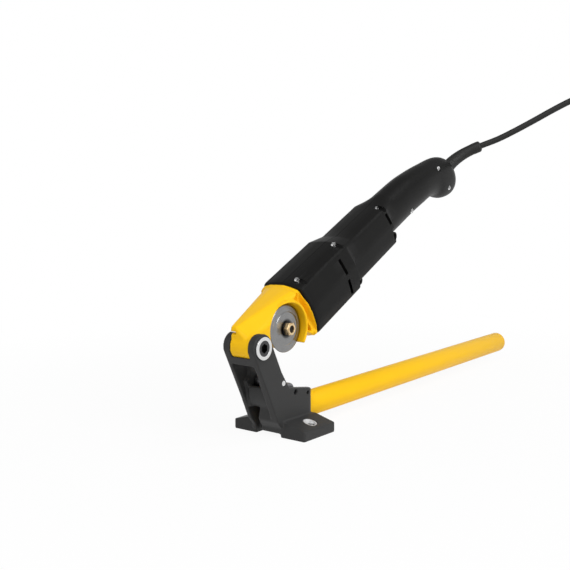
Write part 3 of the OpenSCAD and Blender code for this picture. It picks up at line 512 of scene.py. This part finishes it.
class Bench:
    """Work on finished objects: modifiers, copies of nodes, finishes and bodies."""

    weld = 2e-6
    sliver = 1e-7

    @staticmethod
    def shown(obj: Object) -> bpy.types.Mesh:
        """Mesh of an object as its modifiers show it."""
        bpy.context.view_layer.update()
        return bpy.data.meshes.new_from_object(obj.evaluated_get(bpy.context.evaluated_depsgraph_get()))

    @staticmethod
    def settle(obj: Object) -> None:
        """Applies all modifiers of an object.

        Args:
            obj: object that is changed.
        """
        old, obj.data = obj.data, Bench.shown(obj)
        obj.modifiers.clear()
        bpy.data.meshes.remove(old)

    @staticmethod
    def combine(obj: Object, tool: Object, how: Cut) -> None:
        """Joins or cuts an object with a tool, which is removed.

        Args:
            obj: object that is changed.
            tool: closed mesh.
            how: join or cut.
        """
        step = obj.modifiers.new("combine", "BOOLEAN")
        step.operation = how.value
        step.solver = "EXACT"
        step.use_self = True
        step.object = tool
        Bench.settle(obj)
        bpy.data.objects.remove(tool)

    @staticmethod
    def smooth(obj: Object, angle: float) -> None:
        """Shades an object smooth, apart from edges sharper than an angle in degrees."""
        obj.data.polygons.foreach_set("use_smooth", [True] * len(obj.data.polygons))
        obj.data.set_sharp_from_angle(angle=radians(angle))

    @staticmethod
    def round_edges(obj: Object, width: float, segments: int = 2, angle: float = 34.0) -> None:
        """Rounds the edges of an object that are sharper than an angle.

        Args:
            obj: object that gets the modifier.
            width: width of the rounding, in metres.
            segments: steps of the rounding.
            angle: smallest angle of an edge, in degrees.
        """
        step = obj.modifiers.new("edges", "BEVEL")
        step.width = width
        step.segments = segments
        step.limit_method = "ANGLE"
        step.angle_limit = radians(angle)
        step.profile = 0.5
        step.material = -1

    @staticmethod
    def mould(obj: Object, width: float, sharp: float = 40.0, segments: int = 2) -> None:
        """Rounds the edges of an object for good and shades it smooth.

        Args:
            obj: object that is changed.
            width: width of the rounding, in metres.
            sharp: angle above which an edge stays sharp, in degrees.
            segments: steps of the rounding.
        """
        Bench.round_edges(obj, width, segments)
        Bench.settle(obj)
        Bench.smooth(obj, sharp)

    @staticmethod
    def copy(node: str, name: str) -> Object:
        """Merged copy of a node's mesh.

        Args:
            node: node of the frame.
            name: name of the copy.

        Returns:
            The copy, linked at the origin.
        """
        made = Mesher()
        made.bm.from_mesh(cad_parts[node].data)
        bmesh.ops.remove_doubles(made.bm, verts=made.bm.verts[:], dist=Bench.weld)
        bmesh.ops.dissolve_degenerate(made.bm, edges=made.bm.edges[:], dist=Bench.sliver)
        return made.object(name, WORLD)

    @staticmethod
    def dress(obj: Object, look: Look) -> None:
        """Gives an object one finish."""
        obj.data.materials.clear()
        obj.data.materials.append(look.material)

    @staticmethod
    def finish(obj: Object, look: Look, slot: Slot, body: Body, *nodes: str) -> Object:
        """Gives a piece its finish and body.

        Args:
            obj: the piece.
            look: its finish.
            slot: slot of the record; not used.
            body: body that it rides on.
            nodes: nodes that it stands for.

        Returns:
            The piece.
        """
        Bench.dress(obj, look)
        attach(obj, body.value)
        if nodes:
            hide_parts(*nodes)
        LOG.info("%s: %d faces, on %s", obj.name, len(obj.data.polygons), body.value)
        return obj


@dataclass
class Studio:
    """Camera, floor and soft light."""

    position: Point = (0.516, -0.6528, 0.2273)
    heading: float = 38.25
    pitch: float = 84.1
    roll: float = -0.18
    sensor: float = 36.0
    clip: Pair = (0.01, 100.0)
    focus_px: float = 876.26
    image_px: float = 570.0
    floor_size: float = 14.0
    floor_tone: Colour = (0.85, 0.85, 0.85)
    floor_white: Pair = (0.93, 1.0)
    shadow_at: Point = (0.0, 0.10, 0.0)
    shadow_r: Pair = (0.12, 0.75)
    sky_fade: Pair = (0.30, 0.60)
    sky_light: float = 0.34
    white: Colour = (1.0, 1.0, 1.0)
    aim: Point = (0.0, 0.1, 0.15)
    lamps: tuple[tuple[str, Point, float, float], ...] = (
        ("key_panel", (0.5, -1.5, 2.0), 1.4, 25.0),
        ("side_panel", (1.8, 0.0, 1.1), 1.0, 18.0),
        ("over_panel", (0.95, 0.85, 1.9), 0.6, 6.5))

    def build(self) -> None:
        """Makes the camera, the floor, the world and the lamps."""
        bpy.context.scene.view_settings.view_transform = "Standard"
        self._camera()
        self._floor()
        self._world()
        for lamp in self.lamps:
            self._lamp(*lamp)

    def _camera(self) -> None:
        """Places the camera of the picture."""
        data = bpy.data.cameras.new("picture_camera")
        data.sensor_fit = "HORIZONTAL"
        data.sensor_width = self.sensor
        data.lens = self.sensor * self.focus_px / self.image_px
        data.clip_start, data.clip_end = self.clip
        made = linked("picture_camera", data)
        where = Matrix.Translation(self.position)
        for angle, axis in ((self.heading, "Z"), (self.pitch, "X"), (self.roll, "Z")):
            where = where @ Matrix.Rotation(radians(angle), 4, axis)
        made.matrix_world = where
        bpy.context.scene.camera = made

    def _floor(self) -> None:
        """Makes the pale floor, which fades to white and keeps the shadow."""
        plane = Mesher()
        bmesh.ops.create_grid(plane.bm, x_segments=1, y_segments=1, size=self.floor_size / 2)
        floor = plane.object("floor", WORLD)
        made = bpy.data.materials.new("pale_floor")
        g = Graph(made)
        matt = g.node("ShaderNodeBsdfDiffuse", {}, {"Color": self.floor_tone})
        glow = g.node("ShaderNodeEmission", {}, {"Color": self.white, "Strength": 1.0})
        share = g.seen() * g.fade(g.far(self.shadow_at), self.shadow_r, self.floor_white)
        mixed = g.node("ShaderNodeMixShader", {}, {0: share, 1: matt, 2: glow})
        g.node("ShaderNodeOutputMaterial", {}, {"Surface": mixed})
        floor.data.materials.append(made)

    def _world(self) -> None:
        """Makes the sky: white round the horizon where it is seen, softer overhead and as a light."""
        world = bpy.data.worlds.new("studio_sky")
        bpy.context.scene.world = world
        g = Graph(world)
        at = g.node("ShaderNodeTexCoord", {}, {}, "Generated")
        height = g.node("ShaderNodeSeparateXYZ", {}, {0: at}, "Z")
        soft, bright = (g.node("ShaderNodeBackground", {}, {"Color": self.white, "Strength": strength})
                        for strength in (self.sky_light, 1.0))
        share = g.seen() * g.fade(height, self.sky_fade, (1.0, 0.0))
        mixed = g.node("ShaderNodeMixShader", {}, {0: share, 1: soft, 2: bright})
        g.node("ShaderNodeOutputWorld", {}, {"Surface": mixed})

    def _lamp(self, name: str, at: Point, size: float, power: float) -> None:
        """Hangs one soft panel.

        Args:
            name: name of the lamp.
            at: its place.
            size: side of the panel, in metres.
            power: watts.
        """
        data = bpy.data.lights.new(name, "AREA")
        data.shape = "SQUARE"
        data.size = size
        data.energy = power
        facing = (Vector(self.aim) - Vector(at)).to_track_quat("-Z", "Y")
        linked(name, data).matrix_world = Matrix.Translation(at) @ facing.to_matrix().to_4x4()


@dataclass
class PowerLead:
    """Bend relief, lead, coil, tie and plug."""

    diameter: float = 7.8
    relief: Points = ((-18.0, 352.5, 255.5), (-18.0, 373.5, 275.0), (12.0, 390.0, 288.0))
    relief_d: float = 17.0
    relief_end_d: float = 13.6
    relief_collar: Pairs = ((0.845, 1.0), (0.86, 1.03), (0.96, 1.04), (0.985, 1.0), (1.0, 0.86), (1.012, 0.6))
    air: Points = (
        (12.4, 390.2, 288.2), (32, 400, 296.6), (52, 409, 307.4), (72, 418.5, 319.3), (92, 428, 331.6),
        (110, 437, 341.8), (135, 451, 352), (160, 470, 352), (180, 493, 340), (193, 518, 314),
        (199, 543, 276), (200, 567, 230), (198, 588, 180), (196, 607, 130), (194, 620, 88),
        (192.4, 625.6, 60), (190.6, 627.6, 38), (186.7, 628, 23.4), (181, 628, 15.9), (173.5, 628, 10.2),
        (164.8, 628, 6.4), (155.5, 628, 5.2))
    coil_at: Pair = (144.0, 570.0)
    coil_r: float = 58.0
    pitch: float = 8.3
    layer_turns: float = 3.0
    coil_z: float = 5.2
    tail_r: float = 32.76
    tail_lift: float = -0.4
    tail_end: float = 8.0
    turn_steps: int = 40
    tail_steps: int = 12
    plug_at: Point = (185.06, 471.24, 13.1)
    # Rows of the plug: distance from the lead's end, half width and half height.
    plug_rows: Points = (
        (0.0, 4.9, 4.9), (1.5, 5.8, 5.8), (14.0, 7.0, 7.0), (16.0, 7.8, 7.4), (22.0, 13.5, 9.4),
        (25.0, 17.6, 11.6), (28.0, 18.8, 12.8), (46.0, 18.9, 12.9), (51.5, 18.6, 12.6),
        (53.4, 17.8, 11.8), (54.0, 16.6, 10.6))
    plug_square: float = 0.8
    rib_at: Pair = (19.6, -30.5)
    rib_size: Point = (2.8, 2.2, 14.0)
    rib_step: float = 5.0
    rib_count: int = 4
    pin_r: float = 2.4
    pin_at: Pair = (9.5, -71.6)
    pin_length: float = 18.0
    plug_edge: float = 0.0004
    pin_edge: float = 0.0009
    tie_edge: float = 0.0003
    length: float = 2.5

    def coil_point(self, turn: float) -> Vector:
        """Point of the coil.

        Args:
            turn: turns from its start.

        Returns:
            The point, in millimetres.
        """
        middle = self.layer_turns + 0.25
        climb = min(max((turn - self.layer_turns) / 0.5, 0.0), 1.0)
        radius = self.coil_r - self.pitch * (middle - abs(turn - middle))
        angle = radians(90.0 + 360.0 * turn)
        height = self.coil_z + self.pitch * (1.0 - cos(pi * climb)) / 2
        return Vector((self.coil_at[0] + radius * cos(angle), self.coil_at[1] + radius * sin(angle),
                       height))

    @staticmethod
    def curve(knots: Sequence[Vector], steps: int = 4) -> list[Vector]:
        """Smooth line through knots with uneven gaps.

        Args:
            knots: points that it passes.
            steps: steps of each gap.

        Returns:
            Its points, without the last knot.
        """
        gaps = [(b - a).length for a, b in zip(knots, knots[1:])]
        slopes = [(b - a) / gap for a, b, gap in zip(knots, knots[1:], gaps)]
        ways = [(p * b + q * a) / (a + b) for p, q, a, b in zip(slopes, slopes[1:], gaps, gaps[1:])]
        ways = [slopes[0]] + ways + [slopes[-1]]
        points = []
        for a, b, leave, meet, gap in zip(knots, knots[1:], ways, ways[1:], gaps):
            for u in (k / steps for k in range(steps)):
                points.append(hermite(a, b, leave * gap, meet * gap, u))
        return points

    def route(self) -> list[Vector]:
        """Middle line of the whole lead.

        Returns:
            Its points, in millimetres.
        """
        points = self.curve([Vector(p) for p in self.air] + [self.coil_point(0.0)])
        turns = 2 * self.layer_turns + 0.5
        steps = int(turns * self.turn_steps)
        points += [self.coil_point(turns * k / steps) for k in range(steps + 1)]
        start = self.coil_point(turns)
        for k in range(1, self.tail_steps + 1):
            angle = radians(90.0 * k / self.tail_steps)
            lift = self.tail_lift * (1 - cos(2 * angle)) / 2
            points.append(start + Vector((self.pitch + self.tail_r * sin(angle),
                                          -self.tail_r * (1 - cos(angle)), lift)))
        points.append(points[-1] + Vector((0.0, -self.tail_end, 0.0)))
        return points

    def build(self) -> None:
        """Makes all pieces of the lead."""
        plug = self._plug()
        tie = self._tie()
        self._relief()
        points = [p * MM for p in self.route()]
        line = bpy.data.curves.new("power_lead", "CURVE")
        line.dimensions = "3D"
        line.bevel_depth = self.diameter / 2 * MM
        line.bevel_resolution = 3
        line.use_fill_caps = True
        spline = line.splines.new("POLY")
        spline.points.add(len(points) - 1)
        for knot, point in zip(spline.points, points):
            knot.co = (*point, 1.0)
        draft = linked("power_lead_line", line)
        mesh = Bench.shown(draft)
        bpy.data.objects.remove(draft)
        mesh.name = "power_lead"
        lead = linked("power_lead", mesh)
        Bench.smooth(lead, 60.0)
        Bench.dress(lead, Look.RUBBER)
        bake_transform(lead)
        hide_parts("power_cord", "cord_coil", "cord_tail")
        LOG.info("power_lead: %.3f m", sum((b - a).length for a, b in zip(points, points[1:])))

    def relief_ring(self, u: float, radius: float) -> list[Vector]:
        """Circle round the middle line of the bend relief.

        Args:
            u: share of the length.
            radius: its radius.

        Returns:
            Its points, in millimetres.
        """
        a, b, c = (Vector(p) for p in self.relief)
        at = a * (1 - u) ** 2 + b * 2 * u * (1 - u) + c * u * u
        ahead = ((b - a) * (1 - u) + (c - b) * u).normalized()
        across = Vector((0, 0, 1)).cross(ahead).normalized()
        up = ahead.cross(across)
        return [at + radius * (across * cos(t) + up * sin(t)) for t in circle(32)]

    def _relief(self) -> None:
        """Makes the tapered bend relief with its end collar."""
        rings = []
        stations = [(0.0, 1.0)] + [(0.02 + 0.80 * k / 20, 1.0) for k in range(21)]
        for u, swell in (*stations, *self.relief_collar):
            radius = (self.relief_d + (self.relief_end_d - self.relief_d) * min(u / 0.8, 1.0)) / 2 * swell
            rings.append(self.relief_ring(u, radius))
        piece = Mesher().loft(rings).object("bend_relief_sleeve", SCALE)
        Bench.smooth(piece, 50.0)
        Bench.finish(piece, Look.RUBBER, Slot.RUBBER, Body.LEVER, "bend_relief")

    def _plug(self) -> Object:
        """Makes the moulded plug with its two pins.

        Returns:
            The body of the plug.
        """
        around = [[copysign(abs(v) ** self.plug_square, v) for v in (cos(t), sin(t))]
                  for t in circle(48)]
        rings = [[Vector((wide * x, -along, high * z)) for x, z in around]
                 for along, wide, high in self.plug_rows]
        where = SCALE @ Matrix.Translation(self.plug_at)
        body = Mesher().loft(rings).object("plug_body", where)
        ribs, pins = Mesher(), Mesher()
        half = Vector(self.rib_size) / 2
        for side in (-1, 1):
            for k in range(self.rib_count):
                at = Vector((side * self.rib_at[0], self.rib_at[1] - self.rib_step * k, 0.0))
                ribs.box(at - half, at + half)
            pins.rod("Y", self.pin_r, (side * self.pin_at[0], self.pin_at[1], 0.0), self.pin_length, 24)
        Bench.combine(body, ribs.object("plug_ribs", where), Cut.TAKE)
        Bench.mould(body, self.plug_edge)
        Bench.finish(body, Look.RUBBER, Slot.RUBBER, Body.BASE, "plug")
        steel = pins.object("plug_pins", where)
        Bench.mould(steel, self.pin_edge, segments=3)
        Bench.finish(steel, Look.STEEL, Slot.BRIGHT, Body.BASE)
        steel.parent = body
        return body

    def _tie(self) -> Object:
        """Softens the tie round the coil.

        Returns:
            The tie.
        """
        piece = Bench.copy("coil_tie", "coil_tie_band")
        Bench.mould(piece, self.tie_edge)
        return Bench.finish(piece, Look.RUBBER, Slot.RUBBER, Body.BASE, "coil_tie")


@dataclass
class MotorHousing:
    """Two moulded halves round the motor and the grip, in the frame of the motor axis."""

    front: float = 88.0
    wide_end: float = 172.0
    mid: float = 192.0
    mid_end: float = 262.0
    grip: float = 284.0
    width: float = 58.8
    top: float = 30.5
    low: float = 29.0
    mid_ratio: float = 0.855
    grip_width: float = 41.0
    # Rows of the grip: station, top, underside and share of the width.
    rows: tuple[tuple[float, ...], ...] = (
        (0, 27.5, -20.5, 1), (46, 26, -21, 0.98), (72, 22.8, -22.3, 0.98), (90, 20, -23.5, 0.95),
        (106, 17, -28, 0.93), (120, 14.5, -38, 0.93), (134, 11, -43.5, 0.9), (146, 5.5, -45, 0.83),
        (155, -2, -42, 0.63), (160, -10, -36, 0.34))
    # Screws: station, height and depth of the head.
    top_screws: Points = ((98.5, 28.5, 10.3), (168.5, 28.5, 10.3), (261, 22.08, 9))
    low_screws: Points = ((185, -23.8, 14), (272, -18.5, 11))
    grip_screws: Points = ((398.5, 4.5, 13.2), (413, -28, 13.5), (318.5, -10.5, 14))
    boss_r: float = 5.0
    recess_r: float = 3.3
    notch: Point = (4.8, 0.6, 20.0)
    cut_out: float = 50.0
    # Vent slots: station, lower end, upper end and slant.
    slots: tuple[tuple[float, ...], ...] = (
        (152.3, 2.4, 20.4, 0), (153.5, -21.6, -3.6, 1), (257, 4, 17, 0), (255.7, -16, -2, 1))
    slot_w: float = 4.2
    slot_lean: Pairs = ((48.0, -17.0), (15.0, 11.0))
    trigger_half: float = 4.4
    trigger_s: Pair = (292.0, 332.5)
    trigger_n: Pair = (-40.0, -12.0)
    throat_r: float = 8.9
    throat: tuple[float, ...] = (-0.1, 0.0, 0.15, 0.3, 0.45, 0.6)
    seam: float = 0.1
    edge: float = 0.00045
    sharp: float = 32.0
    step: float = 5.0
    corner_cuts: Pair = (2.0, 0.7)
    front_round: Pairs = ((0.0, 1.8), (0.4, 1.1), (1.0, 0.55), (2.0, 0.15), (3.2, 0.0))
    end_round: Pairs = ((0.72, 1.0), (0.35, 1.5))
    ring_steps: int = 72
    least_angle: float = 0.006
    near_ridge: Pair = (22.8, 26.3)
    far_ridge: Pair = (24.8, 28.5)
    steep_from: float = 41.0
    steep_to: float = 88.0
    angles: list[float] = field(default_factory=list)

    def outline(self, ratio: float) -> list[Vector]:
        """Closed outline of a block section with rounded corners.

        Args:
            ratio: size against the wide section.

        Returns:
            Its points.
        """
        half, top, low = self.width / 2, self.top, self.low
        foot = [(half, -14.0), (half - 2.4, 3.5 - low), (half * 0.544, 0.4 - low)]
        near = [(10.0, top - 0.8), self.near_ridge, (half, 4.5)] + foot
        far = [(12.0, top - 0.3), self.far_ridge, (half, 2.0)] + foot
        around = [(0.0, top)] + near + [(0.0, -low)] + [(-x, n) for x, n in far[::-1]]
        corners = [Vector(p) * ratio for p in around]
        for cut in self.corner_cuts:
            made = []
            for i, corner in enumerate(corners):
                for other in (corners[i - 1], corners[(i + 1) % len(corners)]):
                    edge = other - corner
                    made.append(corner + edge.normalized() * min(cut, 0.3 * edge.length))
            corners = made
        return corners

    @staticmethod
    def reach(corners: Sequence[Vector], angle: float) -> float:
        """Distance of an outline from its middle.

        Args:
            corners: closed outline.
            angle: direction from the top, in radians.

        Returns:
            The distance along that direction.
        """
        way = Vector((sin(angle), cos(angle)))
        best = 0.0
        for a, b in zip(corners, list(corners[1:]) + [corners[0]]):
            edge = b - a
            turn = way.x * edge.y - way.y * edge.x
            if abs(turn) < 1e-9:
                continue
            far = (a.x * edge.y - a.y * edge.x) / turn
            share = (a.x * way.y - a.y * way.x) / turn
            if far > 0 and -1e-6 <= share <= 1 + 1e-6:
                best = max(best, far)
        return best

    def grip_row(self, s: float) -> tuple[float, float, float]:
        """Top, underside and half width of the grip.

        Args:
            s: station along the motor axis.

        Returns:
            The three sizes, on a smooth curve through the rows.
        """
        rows = self.rows
        at = s - self.grip
        i = max(k for k in range(len(rows) - 1) if rows[k][0] <= at + 1e-9)
        step = rows[i + 1][0] - rows[i][0]
        u = (at - rows[i][0]) / step
        found = []
        for k in (1, 2, 3):
            slopes = []
            for j in (i, i + 1):
                low, high = max(j - 1, 0), min(j + 1, len(rows) - 1)
                slopes.append((rows[high][k] - rows[low][k]) / (rows[high][0] - rows[low][0]) * step)
            found.append(hermite(rows[i][k], rows[i + 1][k], *slopes, u))
        return found[0], found[1], found[2] * self.grip_width / 2

    def share(self, along: float, length: float, angle: float) -> float:
        """Share of the next section: a long taper on top, a short step at the sides and below.

        Args:
            along: distance behind the start of the change.
            length: length of the taper.
            angle: direction from the top, in radians.

        Returns:
            0 before the change and 1 after it.
        """
        lean = abs(degrees(remainder(angle, 2 * pi)))
        steep = min(max((lean - self.steep_from) / (self.steep_to - self.steep_from), 0.0), 1.0)
        slow, fast = (min(max(along / size, 0.0), 1.0) for size in (length, self.step))
        return slow * (1 - steep) + fast * steep

    def ring(self, s: float, wide: Sequence[Vector], mid: Sequence[Vector],
             inset: float = 0.0) -> list[Vector]:
        """Ring of the housing at one station.

        Args:
            s: station along the motor axis.
            wide: outline of the wide section.
            mid: outline of the middle section.
            inset: distance of the ring inside the skin.

        Returns:
            Its points.
        """
        points = []
        for angle in self.angles:
            way = Vector((sin(angle), cos(angle)))
            block, waist = way * self.reach(wide, angle), way * self.reach(mid, angle)
            if s <= self.mid:
                at = block.lerp(waist, self.share(s - self.wide_end, self.mid - self.wide_end, angle))
            else:
                high, low, half = self.grip_row(max(s, self.grip))
                lean = atan2(block.x / self.width * 2, block.y / self.top)
                oval = Vector((half * sin(lean), (high + low) / 2 + (high - low) / 2 * cos(lean)))
                at = waist.lerp(oval, self.share(s - self.mid_end, self.grip - self.mid_end, angle))
            if inset:
                at = at * (1 - inset / max(at.length, 1.0))
            points.append(Vector((at.x, s, at.y)))
        return points

    def skin(self) -> list[list[Vector]]:
        """Skin of the whole housing from the flange to the end of the grip.

        Returns:
            Its rings.
        """
        wide, mid = self.outline(1.0), self.outline(self.mid_ratio)
        corners = [atan2(p.x, p.y) % (2 * pi) for p in wide + mid]
        for angle in sorted(corners + circle(self.ring_steps)):
            if not self.angles or angle - self.angles[-1] > self.least_angle:
                self.angles.append(angle)
        rings = [self.ring(self.front + s, wide, mid, inset) for s, inset in self.front_round]
        stations = [100, 120, 140, 160, 170.5]
        for edge, after in ((self.wide_end, self.mid), (self.mid_end, self.grip)):
            stations += [edge, edge + 1, edge + 2.5, edge + 4, edge + self.step]
            stations += [edge + self.step + (after - edge - self.step) * k / 4 for k in range(1, 5)]
            stations += [after + 16 * k for k in range(1, 5)] if after < self.mid_end else []
        end = self.grip + self.rows[-1][0]
        stations += [self.grip + 4 + k * (end - self.grip - 4) / 44 for k in range(45)]
        rings += [self.ring(s, wide, mid) for s in stations]
        last = rings[-1]
        middle = sum(last, Vector()) / len(last)
        for size, out in self.end_round:
            rings.append([middle + (p - middle) * size + Vector((0, out, 0)) for p in last])
        return rings

    def build(self) -> None:
        """Makes the two halves."""
        rings = self.skin()
        for side, name, node in ((1, "shell_near", "housing_near"), (-1, "shell_far", "housing_far")):
            piece = Mesher().loft(rings).half(side, self.seam).object(name, MOTOR)
            Bench.combine(piece, self._bosses(side), Cut.JOIN)
            Bench.combine(piece, self._openings(side), Cut.TAKE)
            Bench.mould(piece, self.edge, self.sharp)
            Bench.finish(piece, Look.PLASTIC, Slot.PLASTIC, Body.LEVER, node)

    def _bosses(self, side: int) -> Object:
        """Round bosses on the lower edge of one half.

        Args:
            side: 1 for the near half, -1 for the far one.

        Returns:
            The tool.
        """
        made = Mesher()
        for s, n, x in self.low_screws:
            start = (self.seam, s, n) if side > 0 else (-x - self.boss_r, s, n)
            made.rod("X", self.boss_r, start, x + self.boss_r - self.seam, 40)
        return made.object("bosses", MOTOR)

    def _openings(self, side: int) -> Object:
        """Everything that is cut from one half.

        Args:
            side: 1 for the near half, -1 for the far one.

        Returns:
            The tool.
        """
        made = Mesher()
        for s, low, high, slant in self.slots:
            edges = ((0.0, low), (self.slot_w, low), (self.slot_w, high), (0.0, high))
            made.loft([[Vector((side * x, s + lean * slant + wide, n)) for wide, n in edges]
                       for x, lean in self.slot_lean])
        if side > 0:
            for s, n, x in self.top_screws + self.low_screws + self.grip_screws:
                made.rod("X", self.recess_r, (x, s, n), self.cut_out, 28)
            back, below, above = self.notch
            for s, n, x in self.top_screws:
                made.box((x, s - back, n - below), (x + self.cut_out, s + self.recess_r, n + above))
        near, far = sorted((-side, side * self.trigger_half))
        (start, end), (low, high) = self.trigger_s, self.trigger_n
        made.box((near, start, low), (far, end, high))
        local, lead = MOTOR.inverted() @ SCALE, PowerLead()
        made.loft([[local @ p for p in lead.relief_ring(u, self.throat_r)] for u in self.throat])
        return made.object("openings", MOTOR)


@dataclass
class Castings:
    """Stand and lever head with the soft edges of sand castings."""

    voxel: float = 0.0008
    passes: int = 4
    soft_share: float = 0.5
    tool_x: float = 48.0
    tool_top: float = 52.0
    corner: Pairs = (
        (-31.0, 18.3), (-28.8, 20.5), (-22.6, 26.4), (-18.1, 28.1), (-13.8, 29.3), (-5.8, 30.2),
        (-1.0, 30.6), (5.1, 28.9), (11.9, 27.2), (18.6, 24.8), (20.7, 20.6), (22.8, 16.0),
        (25.3, 11.1), (26.9, 7.0), (27.9, 1.0))
    corner_stations: Pairs = ((74.0, 7.0), (84.0, 0.0), (89.0, 0.0))
    # Pocket: the near rim's outline and how far the cut goes in.
    pocket: Points = (
        (19.2, 23.6, 0.5), (20.7, 20.6, 5.0), (22.8, 16.0, 8.0), (25.3, 11.1, 9.0), (26.9, 7.0, 9.0),
        (27.9, 1.0, 9.0), (28.3, -3.0, 9.0), (27.8, -9.8, 8.0), (26.4, -17.0, 5.0), (24.4, -21.5, 0.5))
    pocket_stations: Pairs = ((83.8, 1.0), (86.7, 0.94), (87.3, 0.0))
    far_span: Pair = (-14.2, -10.9)
    far_recess: Pairs = (
        (-90.0, 73.2), (-90.0, -1.0), (-19.5, -1.0), (-19.5, 26.0), (-37.5, 29.0), (-39.3, 44.3),
        (-42.8, 53.5), (-38.0, 58.0), (-38.0, 73.2))
    near_span: Pair = (10.9, 12.2)
    near_recess: Pairs = ((-90.0, 73.2), (-90.0, 56.0), (-38.0, 56.0), (-38.0, 73.2))
    hole_x: float = 31.0
    hole_wall: Pairs = (
        (0.6, 4.2), (7.9, 4.2), (9.6, 5.7), (15.0, 5.7), (15.0, 6.6), (9.3, 6.6), (7.6, 4.9), (0.6, 4.9))
    lug_edge: Pair = (43.0, 9.4)
    lug_slope: float = 0.2609

    def build(self) -> None:
        """Makes the softened castings and the bright bench holes."""
        self._soften("stand", "stand_casting", Look.BLACK_COAT, Slot.BLACK_COAT, Body.BASE,
                     self._recesses())
        self._soften("gear_head", "head_casting", Look.YELLOW_COAT, Slot.YELLOW_COAT, Body.LEVER,
                     (self._corner(), self._pocket()))
        self._soften("gear_cover", "gear_cover_casting", Look.YELLOW_COAT, Slot.YELLOW_COAT,
                     Body.LEVER)
        for side, name in ((1, "bench_hole_near"), (-1, "bench_hole_far")):
            self._hole(name, side)

    def _recesses(self) -> list[Object]:
        """Tools that thin the stand's plates on their inner sides."""
        sides = ((self.far_span, self.far_recess), (self.near_span, self.near_recess))
        return [Mesher().loft([[Vector((x, y, z)) for y, z in outline] for x in span]).object("recess", SCALE)
                for span, outline in sides]

    def _corner(self) -> Object:
        """Takes the upper corners of the flange down to the housing.

        Returns:
            The tool.
        """
        rings = []
        side, top = self.tool_x, self.tool_top
        for s, out in self.corner_stations:
            edge = [Vector((x, s, n)) + Vector((x, 0.0, n)).normalized() * out for x, n in self.corner]
            rings.append(edge + [Vector((side, s, edge[-1].z)), Vector((side, s, top)),
                                 Vector((-side, s, top)), Vector((-side, s, edge[0].z))])
        return Mesher().loft(rings).object("corner", MOTOR)

    def _pocket(self) -> Object:
        """Thins the near rim of the flange behind the wheel guard.

        Returns:
            The tool.
        """
        rings = []
        for s, share in self.pocket_stations:
            edge = [Vector((x, s, n)) - Vector((x, 0.0, n)).normalized() * deep * share
                    for x, n, deep in self.pocket]
            rings.append(edge + [Vector((self.tool_x, s, z)) for z in (edge[-1].z, edge[0].z)])
        return Mesher().loft(rings).object("pocket", MOTOR)

    def _soften(self, node: str, name: str, look: Look, slot: Slot, body: Body,
                tools: Sequence[Object] = ()) -> None:
        """Copies a node and softens its edges.

        Args:
            node: node of the frame.
            name: name of the piece.
            look: its finish.
            slot: slot of the record.
            body: body that it rides on.
            tools: closed meshes that are cut off first.
        """
        piece = Bench.copy(node, name)
        for tool in tools:
            Bench.combine(piece, tool, Cut.TAKE)
        step = piece.modifiers.new("cast", "REMESH")
        step.mode = "VOXEL"
        step.voxel_size = self.voxel
        soft = piece.modifiers.new("soft", "SMOOTH")
        soft.factor = self.soft_share
        soft.iterations = self.passes
        Bench.settle(piece)
        Bench.smooth(piece, 180.0)
        Bench.finish(piece, look, slot, body, node)

    def _hole(self, name: str, side: int) -> None:
        """Bare metal wall of a countersunk bench hole.

        Args:
            name: name of the piece.
            side: 1 for the near lug, -1 for the far one.
        """
        lining = Mesher().turned(self.hole_wall, (side * self.hole_x, 0.0, 0.0))
        lining.trim((side * self.lug_edge[0], 0.0, self.lug_edge[1]), (side * self.lug_slope, 0.0, 1.0))
        piece = lining.object(name, SCALE)
        Bench.smooth(piece, 30.0)
        Bench.finish(piece, Look.ZINC, Slot.BRIGHT, Body.BASE)


@dataclass
class Fittings:
    """Nodes of the frame that keep their shape and get a finish and soft edges."""

    edge: float = 0.0003
    edge_angle: float = 40.0
    plan: ClassVar[dict[Look, tuple[str, ...]]] = {
        Look.YELLOW_COAT: ("holding_tube", "tube_end_cap"),
        Look.SLEEVE: ("pivot_sleeve",),
        Look.SCREW_BLACK: ("pivot_screw", "pivot_nut", "tube_set_screw"),
        Look.DARK_STEEL: ("wheel_washer", "low_axle", "spindle"),
        Look.STEEL: ("front_axle", "roller_spacers", "cover_screws", "stop_pin", "housing_screws",
                     "front_bearing", "rear_bearing", "motor_shaft", "trigger_pin"),
        Look.ROLLER: ("roller_front_near", "roller_front_far", "roller_low_near", "roller_low_far",
                      "crown_gear", "pinion_carrier", "ring_gear"),
        Look.WHEEL: ("cutter_wheel",),
        Look.BRASS: ("wheel_nut",),
        Look.BRONZE: ("spindle_bush", "brush_holders"),
        Look.COPPER: ("commutator",),
        Look.WIRE: ("stator", "armature_core"),
        Look.PLASTIC: ("switch_body", "fan", "trigger"),
    }

    def build(self) -> None:
        """Dresses every node that is still shown."""
        for look, names in self.plan.items():
            for name in names:
                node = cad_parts[name]
                Bench.dress(node, look)
                node.modifiers.new("weld", "WELD").merge_threshold = Bench.weld
                Bench.round_edges(node, self.edge, angle=self.edge_angle)
                LOG.info("%s: %s", name, look.value.name)


def main() -> None:
    """Builds the scene in order."""
    logging.basicConfig(level=logging.INFO, format="%(name)s: %(message)s")
    for maker in (Studio, PowerLead, MotorHousing, Castings, Fittings):
        maker().build()


if __name__ == "__main__":
    main()
